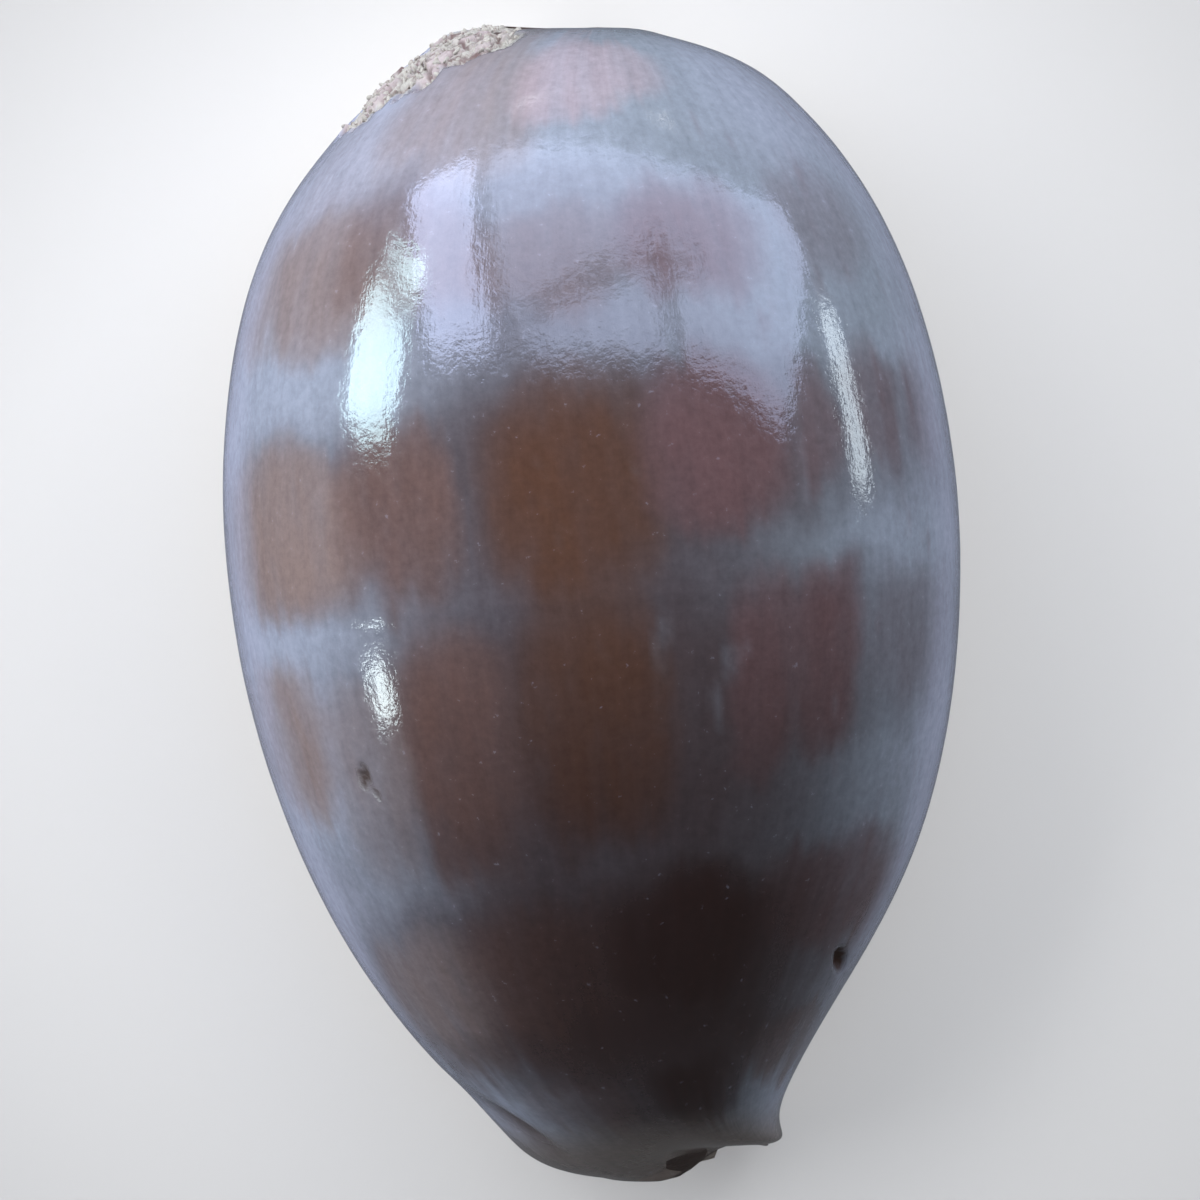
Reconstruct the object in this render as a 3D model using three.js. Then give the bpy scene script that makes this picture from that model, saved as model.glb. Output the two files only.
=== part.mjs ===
// A cowrie shell, in millimetres: one coiled wall of shell that closes over a hollow body whorl.
// It lies on its base, +Z up, with the narrow front end towards -Y, the broad spire end towards +Y,
// the outer (labral) lip on the -X side and the columellar lip on the +X side.
// The origin is on the surface that the shell rests on, under the middle of its bounding box.
//
// The wall is one closed surface made of two sheets. The outer sheet starts on the labral lip inside the
// aperture, rounds the lip, crosses the base, the flank and the crest of the back, comes down the other side,
// rounds the columellar lip and follows the inner whorl up into the hollow. The inner sheet faces the hollow.
// The sheets meet along both free edges, and round the front and rear canals.

import * as THREE from "three";

const DEG = Math.PI / 180;

// Driving dimensions.
const LENGTH = 70;
const WIDTH = 43.6;
const HEIGHT = 34;
const LABRAL_WIDEST_AT = 8 * DEG; // station angles where the sides are widest, behind the middle
const COLUMELLAR_WIDEST_AT = 7 * DEG;
const CREST_AT = 6 * DEG; // station angle where the back is highest
const BASE_LIFT = 1.8; // how far the base rises from the surface at the two ends
const FLAT_SPOT = 0.35; // depth worn off the lowest part of the base, which leaves the flats it rests on
const LABRAL_MARGIN = 0.27; // height of the widest line, as a share of the section's height
const COLUMELLAR_MARGIN = 0.34;
const BACK_FULLNESS = 2.15; // superellipse exponents of the back and of the base
const BASE_FULLNESS = 2.9;

const BEAK_FLATNESS = 2.6; // exponent of the beaks' rise towards the tips
const LIP_TOP = 90 * DEG; // how far round a lip goes before it meets the hollow
const END_LIP_TOP = 15 * DEG;

// The two ends. Each lip runs out into a beak beside the canal. Slit x and bow are where the slit ends and
// how late it bends there. Width is what a beak adds to the plan, and trim is what is taken off the plan
// further in. Setbacks are how far the canal's roof, a beak's outer side and its side towards the slit stand
// back from the tip of the shell, and the roof's setback gives way to the beak's over the roof turn.
// Rounding is how many stations round the wall's rim.
const FRONT = {
  height: 8.5,
  slope: 1.2,
  slitX: 6,
  bow: 2.5,
  canalHalfWidth: 0.85,
  spread: 22.5 * DEG,
  trimAt: 45 * DEG,
  roofSetback: 2,
  labral: { width: 5, trim: 0, setback: 0, slitSetback: 1.8, roofTurn: 0.25, rounding: 28 * DEG },
  columellar: { width: 8.4, trim: 0.9, setback: 1.5, slitSetback: 0.5, roofTurn: 0.5, rounding: 16 * DEG },
};
const REAR = {
  height: 12.5,
  slope: 1,
  slitX: 2.1,
  bow: 3,
  canalHalfWidth: 1.9,
  spread: 11 * DEG,
  trimAt: 60 * DEG,
  roofSetback: 1.2,
  labral: { width: 4, trim: 1.3, setback: 0, slitSetback: 1, roofTurn: 0.5, rounding: 24 * DEG },
  columellar: { width: 3.4, trim: 0.4, setback: 1.9, slitSetback: -0.4, roofTurn: 0.5, rounding: 30 * DEG },
};
const TRIM_SPREAD = 15 * DEG;
const END_SPREAD = 34 * DEG; // stations over which a setback fades out
const CANAL_FROM = 50 * DEG; // stations where the hollow starts to close into a canal, and has closed
const CANAL_OVER = 40 * DEG;
const CREST_BENDS_FROM = 30 * DEG; // stations where the crest starts to bend towards the canal
const CREST_BENDS_OVER = 60 * DEG;

// Aperture: the slit between the lips, bowed towards the labral side.
const SLIT_MIDDLE_X = -1.6;
const SLIT_HALF_WIDTH = 1.65;
const LIP_RADIUS = 2.5;
const LIP_HEIGHT = 5.6;
const END_LIP_RADIUS = 1.3;
const END_LIP_HEIGHT = 4.4;
const TEETH = 26;
const TOOTH_DEPTH = 0.75;
const TOOTHED_HALF_LENGTH = 31;
const TOOTH_FADE = 3; // length over which the teeth fade out at the ends of the row
const FOLD_FROM = 0.1; // share of the way round a lip where its grooves start, and the share that they cover
const FOLD_SPAN = 0.8;

// Wall.
const BACK_WALL = 1.5;
const MARGIN_WALL = 2.7;
const BASE_WALL = 2.6;
const WHORL_WALL = 1.8;
const CANAL_WALL = 2.3;
const CANAL_SWELL = 0.7; // how much wider a canal is above its slit, on each side
const SLIMMING_WIDTH = 4; // width beside the slit at which the columellar lip and wall get slimmer
const HOLLOW_SHOULDER = 0.3; // height of the hollow's widest line, as a share of its height
const CANAL_SHOULDER = 0.5;
const HOLLOW_FLOOR_REACH = 0.3; // share of the labral base that the hollow's level floor starts from
const CANAL_BULGE = 1; // how far a canal's side is drawn out of a straight line

// Inner whorl: the wall that rolls up from the columellar lip.
const WHORL_RADIUS_X = 7.6;
const WHORL_RADIUS_Z = 6.6;
const WHORL_CENTRE_Z = 12;
const WHORL_END_ANGLE = -35 * DEG;
const WHORL_CLEARANCE = 1.5; // least space between the roll and the outer wall
const ROLL_TO = 54 * DEG; // station where the roll has ended, and the stations over which it opens
const ROLL_OVER = 26 * DEG;
const FOOT_SHIFT = 1.2; // where the whorl's hollow side starts: past the lip, in lip radii
const FOOT_DROP = 0.3; // below the lip's top at the ends
const FOOT_RISE = 0.6; // above the hollow's floor in the middle
const FOOT_REACH = 0.4; // share of the columellar floor that slopes up to the foot
const FOOT_SHARE = 0.6; // share of the inner rows that the columellar base takes
const WALL_TURN = 0.3; // share of the whorl's rows that rise from the foot
const WALL_LEAN = 0.6;
const EDGE_THINNING = 5; // exponent of the wall's thinning towards the free edge

// Mesh.
const STATIONS = 44;
const INNER_STATIONS = 30;
const SAMPLES_PER_TOOTH = 4;
const ROWS = { fold: 5, base: 5, flank: 9, whorl: 8 };
const BEYOND_TEETH = 2 * DEG; // least gap between the last toothed station and the next plain one
const SHEET_SHIFT_FROM = 0.4; // turn where the rim's labral rounding starts to give way to the columellar
const SHEET_SHIFT_OVER = 0.5;
const MARGIN_TURN = 0.5; // turn at about the widest line

// Enamel.
const ENAMEL = 0x8a7a78;
const ENAMEL_ROUGHNESS = 0.18;

const mix = (a, b, t) => a + (b - a) * t;
const clamp01 = (t) => Math.min(1, Math.max(0, t));
const smooth = (t) => clamp01(t) ** 2 * (3 - 2 * clamp01(t)); // 0 to 1 with a level start and end
const bell = (t) => Math.exp(-t * t);
const plateau = (t) => Math.exp(-(t ** BEAK_FLATNESS));

// A quarter of a superellipse from (x0, z0), where it runs upright, to (x1, z1), where it lies level.
function quarter(x0, z0, x1, z1, fullness, f) {
  const a = (f * Math.PI) / 2;
  const c = Math.cos(a) ** (2 / fullness);
  const s = Math.sin(a) ** (2 / fullness);
  return [x1 + (x0 - x1) * c, z0 + (z1 - z0) * s];
}

function bezier(p, f) {
  const g = 1 - f;
  const w = [g * g * g, 3 * g * g * f, 3 * g * f * f, f * f * f];
  return [0, 1].map((k) => p.reduce((sum, q, i) => sum + w[i] * q[k], 0));
}

const blend = (p, q, t) => [mix(p[0], q[0], t), mix(p[1], q[1], t)];
const onEllipse = (cx, cz, rx, rz, a) => [cx + rx * Math.cos(a), cz + rz * Math.sin(a)];

// Everything that the section at one station angle needs. -90 degrees is the front tip, and 90 the rear tip.
function sectionAt(psi) {
  const along = Math.sin(psi);
  const end = psi < 0 ? FRONT : REAR;
  const toEnd = smooth((Math.abs(psi) - CANAL_FROM) / CANAL_OVER);
  const labralRound = Math.max(0, Math.cos(psi - LABRAL_WIDEST_AT));
  const columellarRound = Math.max(0, Math.cos(psi - COLUMELLAR_WIDEST_AT));
  const beak = plateau((Math.PI / 2 - Math.abs(psi)) / end.spread);
  const trim = bell((Math.abs(psi) - end.trimAt) / TRIM_SPREAD);
  const left = (WIDTH / 2) * labralRound + end.labral.width * beak - end.labral.trim * trim;
  const right = (WIDTH / 2) * columellarRound + end.columellar.width * beak - end.columellar.trim * trim;
  const bottom = BASE_LIFT * (1 - Math.cos(psi)) ** 2 - FLAT_SPOT * Math.cos(psi) ** 2;
  const crest = Math.max(0, Math.cos(psi - CREST_AT)) ** end.slope;
  const top = end.height + (HEIGHT - end.height) * crest;
  const slit = mix(SLIT_MIDDLE_X, end.slitX, Math.abs(along) ** end.bow);
  const innerTop = top - mix(BACK_WALL, CANAL_WALL, toEnd);
  const gap = mix(SLIT_HALF_WIDTH, end.canalHalfWidth, toEnd);
  const canal = gap + CANAL_SWELL;
  const slim = 1 - Math.exp((slit + gap - right) / SLIMMING_WIDTH);
  return {
    slit, gap, left, right, top, bottom, toEnd, innerTop,
    crestX: mix(0, slit, smooth((Math.abs(psi) - CREST_BENDS_FROM) / CREST_BENDS_OVER)),
    lipRadius: mix(LIP_RADIUS, END_LIP_RADIUS, toEnd) * slim,
    lipHeight: mix(LIP_HEIGHT, END_LIP_HEIGHT, toEnd),
    lipTop: mix(LIP_TOP, END_LIP_TOP, toEnd),
    roll: smooth((ROLL_TO - Math.abs(psi)) / ROLL_OVER),
    leftZ: mix(bottom, top, LABRAL_MARGIN),
    rightZ: mix(bottom, top, COLUMELLAR_MARGIN),
    innerLeft: mix(left - MARGIN_WALL, canal - slit, toEnd),
    innerRight: mix(right - MARGIN_WALL * slim, canal + slit, toEnd),
    innerMarginZ: mix(bottom + BASE_WALL, innerTop, mix(HOLLOW_SHOULDER, CANAL_SHOULDER, toEnd)),
  };
}

// The roll of the inner whorl: an ellipse that shrinks to the columellar lip's rounding towards the ends.
function whorlOf(s) {
  const room = (s.innerRight - WHORL_CLEARANCE - s.slit - s.gap) / 2;
  const rx = mix(s.lipRadius, Math.min(WHORL_RADIUS_X, room), s.roll);
  return {
    rx,
    rz: mix(s.lipHeight / 2, WHORL_RADIUS_Z, s.roll),
    cx: s.slit + s.gap + rx,
    cz: mix(s.bottom + s.lipHeight / 2, WHORL_CENTRE_Z, s.roll),
    end: mix(Math.PI - s.lipTop, WHORL_END_ANGLE, s.roll),
  };
}

// Points (x, z) of the outer sheet's section, by piece of the outline and share of that piece.
const OUTER = {
  labralFold: (s, f) =>
    onEllipse(
      s.slit - s.gap - s.lipRadius,
      s.bottom + s.lipHeight / 2,
      s.lipRadius,
      s.lipHeight / 2,
      mix(s.lipTop, -Math.PI / 2, f),
    ),
  labralBase: (s, f) =>
    quarter(-s.left, s.leftZ, s.slit - s.gap - s.lipRadius, s.bottom, BASE_FULLNESS, 1 - f),
  labralFlank: (s, f) => quarter(-s.left, s.leftZ, s.crestX, s.top, BACK_FULLNESS, f),
  columellarFlank: (s, f) => quarter(s.right, s.rightZ, s.crestX, s.top, BACK_FULLNESS, 1 - f),
  columellarBase: (s, f) =>
    quarter(s.right, s.rightZ, s.slit + s.gap + s.lipRadius, s.bottom, BASE_FULLNESS, f),
  columellarFold: (s, f) =>
    onEllipse(
      s.slit + s.gap + s.lipRadius,
      s.bottom + s.lipHeight / 2,
      s.lipRadius,
      s.lipHeight / 2,
      -Math.PI / 2 - (f * Math.PI) / 2,
    ),
  whorl: (s, f) => {
    const w = whorlOf(s);
    return onEllipse(w.cx, w.cz, w.rx, w.rz, mix(Math.PI, w.end, f));
  },
};

// The same for the inner sheet, which faces the hollow. At the ends it is the wall of a canal.
function innerBase(s, f) {
  const free = OUTER.labralFold(s, 0);
  const wall = -s.innerLeft;
  const floor = s.bottom + BASE_WALL;
  const margin = [wall, s.innerMarginZ];
  const hollow = [free, [mix(free[0], wall, HOLLOW_FLOOR_REACH), floor], [wall, floor], margin];
  const canal = [free, [free[0], free[1] + CANAL_BULGE], [wall, margin[1] - CANAL_BULGE], margin];
  return blend(bezier(hollow, f), bezier(canal, f), s.toEnd);
}
function whorlFoot(s) {
  const x = s.slit + s.gap + s.lipRadius;
  const hollow = [
    x + s.lipRadius * FOOT_SHIFT * s.roll,
    mix(s.bottom + s.lipHeight - FOOT_DROP, s.bottom + BASE_WALL + FOOT_RISE, s.roll),
  ];
  const canal = [s.innerRight, mix(s.bottom + s.lipHeight / 2, s.innerMarginZ, FOOT_SHARE)];
  return blend(hollow, canal, s.toEnd);
}
function innerColumellarBase(s, f) {
  const foot = whorlFoot(s);
  const wall = s.innerRight;
  const floor = s.bottom + BASE_WALL;
  const margin = [wall, s.innerMarginZ];
  const hollow = [margin, [wall, floor], [mix(foot[0], wall, FOOT_REACH), foot[1]], foot];
  return blend(bezier(hollow, f), blend(margin, foot, f), s.toEnd);
}
// Inside the roll: from the whorl's foot up its hollow side to the free edge, where the wall thins out.
function insideWhorl(s, f) {
  const w = whorlOf(s);
  const foot = whorlFoot(s);
  const free = onEllipse(w.cx, w.cz, w.rx, w.rz, w.end);
  let open;
  if (f < WALL_TURN) {
    const wall = [w.cx - w.rx + WHORL_WALL, w.cz];
    const low = [wall[0] + WALL_LEAN, foot[1]];
    open = bezier([foot, low, [wall[0], mix(foot[1], wall[1], FOOT_REACH)], wall], f / WALL_TURN);
  } else {
    const q = (f - WALL_TURN) / (1 - WALL_TURN);
    const thickness = WHORL_WALL * Math.sqrt(Math.max(0, 1 - q ** EDGE_THINNING));
    open = onEllipse(w.cx, w.cz, w.rx - thickness, w.rz - thickness, mix(Math.PI, w.end, q));
  }
  return blend(blend(foot, free, f), open, s.roll);
}
const INNER = {
  labralFold: (s, f) => innerBase(s, f / 2),
  labralBase: (s, f) => innerBase(s, (1 + f) / 2),
  labralFlank: (s, f) => quarter(-s.innerLeft, s.innerMarginZ, s.crestX, s.innerTop, BACK_FULLNESS, f),
  columellarFlank: (s, f) =>
    quarter(s.innerRight, s.innerMarginZ, s.crestX, s.innerTop, BACK_FULLNESS, 1 - f),
  columellarBase: (s, f) => innerColumellarBase(s, f * FOOT_SHARE),
  columellarFold: (s, f) => innerColumellarBase(s, mix(FOOT_SHARE, 1, f)),
  whorl: (s, f) => insideWhorl(s, f),
};

// The rows of the surface, from the labral free edge to the whorl's free edge. A row's turn is -1 at the
// labral free edge, 0 on the crest, and 1 on the slit's columellar side and beyond.
function makeRows() {
  const pieces = [
    ["labralFold", ROWS.fold],
    ["labralBase", ROWS.base],
    ["labralFlank", ROWS.flank],
    ["columellarFlank", ROWS.flank],
    ["columellarBase", ROWS.base],
    ["columellarFold", ROWS.fold],
    ["whorl", ROWS.whorl],
  ];
  const side = ROWS.fold + ROWS.base + ROWS.flank;
  const rows = [];
  for (const [piece, count] of pieces)
    for (let i = 0; i < count; i += 1)
      rows.push({ piece, f: i / count, turn: Math.min(1, rows.length / side - 1) });
  rows.push({ piece: "whorl", f: 1, turn: 1 });
  return rows;
}

// Depth of the grooves between the teeth, at a place along the aperture.
function grooveDepth(y, fade) {
  const inside = smooth((TOOTHED_HALF_LENGTH - Math.abs(y)) / TOOTH_FADE);
  const phase = (y / (2 * TOOTHED_HALF_LENGTH)) * TEETH;
  return (TOOTH_DEPTH * inside * fade * (1 - Math.cos(2 * Math.PI * phase))) / 2;
}
const FOLD_SIDE = { labralFold: -1, columellarFold: 1 };

// A point of one sheet. Near the ends both sheets draw together on the middle of the wall: its rim is round.
function pointOn(sheet, row, psi) {
  const s = sectionAt(psi);
  const end = psi < 0 ? FRONT : REAR;
  const toRim = Math.PI / 2 - Math.abs(psi);
  const across = smooth((row.turn + SHEET_SHIFT_FROM) / SHEET_SHIFT_OVER);
  const rounding = mix(end.labral.rounding, end.columellar.rounding, across);
  const open = Math.sin((Math.min(1, toRim / rounding) * Math.PI) / 2);
  const middle = blend(OUTER[row.piece](s, row.f), INNER[row.piece](s, row.f), 1 / 2);
  const point = blend(middle, sheet[row.piece](s, row.f), open);
  const side = row.turn < 0 ? end.labral : end.columellar;
  const down = Math.abs(row.turn);
  const roofOrBeak = mix(end.roofSetback, side.setback, smooth(down / side.roofTurn));
  const setback = roofOrBeak + side.slitSetback * smooth((down - MARGIN_TURN) / (1 - MARGIN_TURN));
  const y = (LENGTH / 2) * Math.sin(psi) - Math.sign(psi) * setback * smooth(1 - toRim / END_SPREAD);
  if (sheet === OUTER && row.piece in FOLD_SIDE) {
    const round = Math.sin(Math.PI * (FOLD_FROM + FOLD_SPAN * row.f));
    point[0] += FOLD_SIDE[row.piece] * grooveDepth(y, open * round);
  }
  return [point[0], y, Math.max(0, point[1])];
}

// Station angles: even ones for the plain rows, and ones that follow the teeth for the lips.
const evenStations = (count) =>
  Array.from({ length: count + 1 }, (_, i) => -Math.PI / 2 + (Math.PI * i) / count);
function toothedStations() {
  const half = (TEETH * SAMPLES_PER_TOOTH) / 2;
  const inner = [];
  for (let i = -half; i <= half; i += 1)
    inner.push(Math.asin(((i / half) * TOOTHED_HALF_LENGTH) / (LENGTH / 2)));
  const beyond = evenStations(STATIONS).filter((psi) => Math.abs(psi) > inner.at(-1) + BEYOND_TEETH);
  return [...beyond.filter((psi) => psi < 0), ...inner, ...beyond.filter((psi) => psi > 0)];
}

// Collects vertices and triangles. Strips join two neighbouring rows that may have different stations.
class Skin {
  constructor() {
    this.positions = [];
    this.triangles = [];
  }
  vertex(p) {
    this.positions.push(...p);
    return this.positions.length / 3 - 1;
  }
  strip(a, b, flipped) {
    let i = 0;
    let j = 0;
    while (i < a.ids.length - 1 || j < b.ids.length - 1) {
      const stepA =
        j === b.ids.length - 1 || (i < a.ids.length - 1 && a.stations[i + 1] <= b.stations[j + 1]);
      const face = stepA ? [a.ids[i], b.ids[j], a.ids[i + 1]] : [a.ids[i], b.ids[j], b.ids[j + 1]];
      if (new Set(face).size === face.length) this.triangles.push(...(flipped ? face.reverse() : face));
      if (stepA) i += 1;
      else j += 1;
    }
  }
  geometry() {
    const geometry = new THREE.BufferGeometry();
    geometry.setAttribute("position", new THREE.Float32BufferAttribute(this.positions, 3));
    geometry.setIndex(this.triangles);
    geometry.computeVertexNormals();
    return geometry;
  }
}

function shellGeometry() {
  const skin = new Skin();
  const rows = makeRows();
  const last = rows.length - 1;
  const dense = toothedStations();
  const outer = rows.map((row) => {
    const stations = row.piece in FOLD_SIDE ? dense : evenStations(STATIONS);
    return { stations, ids: stations.map((psi) => skin.vertex(pointOn(OUTER, row, psi))) };
  });
  const inner = rows.map((row, i) => {
    if (i === 0 || i === last) return outer[i];
    const stations = evenStations(INNER_STATIONS);
    const ids = stations.map((psi, k) => {
      if (k === 0) return outer[i].ids[0];
      if (k === stations.length - 1) return outer[i].ids.at(-1);
      return skin.vertex(pointOn(INNER, row, psi));
    });
    return { stations, ids };
  });
  for (let i = 0; i < last; i += 1) {
    skin.strip(outer[i], outer[i + 1], false);
    skin.strip(inner[i], inner[i + 1], true);
  }
  return skin.geometry();
}

const enamel = new THREE.MeshStandardMaterial({ color: ENAMEL, roughness: ENAMEL_ROUGHNESS, metalness: 0 });
const shell = new THREE.Mesh(shellGeometry(), enamel);
shell.name = "shell";

const cowrie = new THREE.Group();
cowrie.add(shell);

export default cowrie;
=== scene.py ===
"""A banded cowrie shell on a pale studio floor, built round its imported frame.

The shell lies on its base with the narrow front end towards -Y and the spire end towards +Y. The outer
(labral) lip is on the -X side and the columellar lip on the +X side. Sizes are in millimetres and degrees;
each tree brings its result to metres as its last step.
"""

import logging
import math
from collections.abc import Iterator, Mapping, Sequence
from dataclasses import dataclass, fields, is_dataclass
from enum import Enum, IntEnum
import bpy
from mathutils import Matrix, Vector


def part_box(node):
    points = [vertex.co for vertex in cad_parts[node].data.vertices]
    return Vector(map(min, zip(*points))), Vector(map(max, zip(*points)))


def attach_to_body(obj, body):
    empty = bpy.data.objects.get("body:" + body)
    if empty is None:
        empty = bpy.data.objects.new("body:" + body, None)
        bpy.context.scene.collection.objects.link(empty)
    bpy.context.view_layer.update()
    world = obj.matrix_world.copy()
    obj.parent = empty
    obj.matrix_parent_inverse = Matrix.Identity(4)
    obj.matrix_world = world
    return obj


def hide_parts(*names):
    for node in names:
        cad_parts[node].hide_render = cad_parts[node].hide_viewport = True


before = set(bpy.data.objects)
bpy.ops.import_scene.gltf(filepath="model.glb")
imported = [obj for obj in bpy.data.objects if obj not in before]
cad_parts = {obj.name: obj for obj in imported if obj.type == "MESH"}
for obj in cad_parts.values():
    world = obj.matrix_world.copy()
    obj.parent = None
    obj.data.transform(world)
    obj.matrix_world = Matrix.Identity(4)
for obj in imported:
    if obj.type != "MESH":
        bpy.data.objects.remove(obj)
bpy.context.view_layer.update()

from types import SimpleNamespace
from typing import Any, NamedTuple

import bpy
import numpy as np
from mathutils import Vector

MM_PER_M = 1000.0
RADIANS_PER_DEGREE = math.pi / 180
NODE = "shell"
log = logging.getLogger("cowrie")


class Tint(Enum):
    """The shell's colours, as linear red, green and blue, some of them painted shade or sheen."""

    LAVENDER_GROUND = (0.230, 0.265, 0.340)
    BLUE_GROUND = (0.198, 0.234, 0.292)
    # painted shade along the crest
    CREST_HAZE = (0.060, 0.052, 0.062)
    # painted shade over the front
    FRONT_HAZE = (0.020, 0.009, 0.008)
    TAN = (0.198, 0.150, 0.144)
    WARM_BROWN = (0.074, 0.036, 0.024)
    UMBER = (0.110, 0.066, 0.060)
    # partly the bands' darker ground, partly painted shade over the middle of the back
    DUSK = (0.060, 0.046, 0.052)
    DARK_UMBER = (0.018, 0.006, 0.005)
    RED_BROWN = (0.110, 0.062, 0.068)
    PINK = (0.360, 0.270, 0.310)
    # partly the pale callus colour, partly painted sheen at the margins
    LAVENDER_RIM = (0.400, 0.440, 0.600)
    OLIVE_TIP = (0.150, 0.125, 0.110)
    CREAM = (0.600, 0.545, 0.480)
    # painted shadow inside the canals, in the fold groove and down the pits
    SHADOW_BROWN = (0.040, 0.020, 0.014)
    TOOTH_GAP = (0.260, 0.115, 0.055)
    CHALK = (0.360, 0.350, 0.325)
    MOSS_GREY = (0.190, 0.200, 0.160)
    HOLLOW_VIOLET = (0.300, 0.235, 0.330)

    def rgba(self, alpha: float = 1.0) -> tuple[float, float, float, float]:
        """The colour with an alpha."""
        return (*self.value, alpha)


# --- Node trees written as Python expressions ---------------------------------------------------------------


class Value:
    """A node socket that takes part in Python arithmetic.

    Numbers go through Math nodes, and vectors and colours through Vector Math nodes.
    """

    def __init__(self, graph: "Graph", socket: bpy.types.NodeSocket) -> None:
        """Keeps the tree and the output socket."""
        self.graph = graph
        self.socket = socket

    def _join(self, operation: str, left: Any, right: Any) -> "Value":
        """Adds the Math node, or Vector Math node, for one operation on two operands.

        Args:
            operation: The node's operation.
            left: The first operand.
            right: The second operand.

        Returns:
            The node's result.
        """
        if self.socket.type in ("VECTOR", "RGBA"):
            return self.graph.vector(operation, left, right)
        return self.graph.math(operation, left, right)

    def __add__(self, other: Any) -> "Value":
        """self + other."""
        return self._join("ADD", self, other)

    def __radd__(self, other: Any) -> "Value":
        """other + self."""
        return self._join("ADD", other, self)

    def __sub__(self, other: Any) -> "Value":
        """self - other."""
        return self._join("SUBTRACT", self, other)

    def __rsub__(self, other: Any) -> "Value":
        """other - self."""
        return self._join("SUBTRACT", other, self)

    def __mul__(self, other: Any) -> "Value":
        """self * other."""
        return self._join("MULTIPLY", self, other)

    def __rmul__(self, other: Any) -> "Value":
        """other * self."""
        return self._join("MULTIPLY", other, self)

    def __truediv__(self, other: Any) -> "Value":
        """self / other."""
        return self._join("DIVIDE", self, other)

    def __rtruediv__(self, other: Any) -> "Value":
        """other / self."""
        return self._join("DIVIDE", other, self)

    def __pow__(self, other: Any) -> "Value":
        """self ** other."""
        return self.graph.math("POWER", self, other)

    def __rpow__(self, other: Any) -> "Value":
        """other ** self."""
        return self.graph.math("POWER", other, self)

    def __neg__(self) -> "Value":
        """-self."""
        return self * -1.0

    def __abs__(self) -> "Value":
        """abs(self)."""
        return self.graph.math("ABSOLUTE", self)

    def least(self, other: Any) -> "Value":
        """The smaller of the two."""
        return self._join("MINIMUM", self, other)

    def most(self, other: Any) -> "Value":
        """The larger of the two."""
        return self._join("MAXIMUM", self, other)

    def below(self, limit: Any) -> "Value":
        """1 where the value is less than the limit, and 0 elsewhere."""
        return self.graph.math("LESS_THAN", self, limit)

    def exp(self) -> "Value":
        """e to the power of the value."""
        return self.graph.math("EXPONENT", self)

    def root(self) -> "Value":
        """The square root."""
        return self.graph.math("SQRT", self)

    def rise(self, low: Any, high: Any) -> "Value":
        """A smooth step from 0 at low to 1 at high, or falling where low is the larger.

        Args:
            low: Where the step is still 0.
            high: Where it has reached 1.

        Returns:
            The step.
        """
        sockets = {"Value": self, "From Min": low, "From Max": high}
        settings = {"interpolation_type": "SMOOTHSTEP"}
        return self.graph.value("ShaderNodeMapRange", settings, sockets, "Result")

    def parts(self) -> tuple["Value", "Value", "Value"]:
        """The x, y and z of a vector."""
        node = self.graph.node("ShaderNodeSeparateXYZ", {}, {"Vector": self})
        return tuple(Value(self.graph, socket) for socket in node.outputs)


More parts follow.
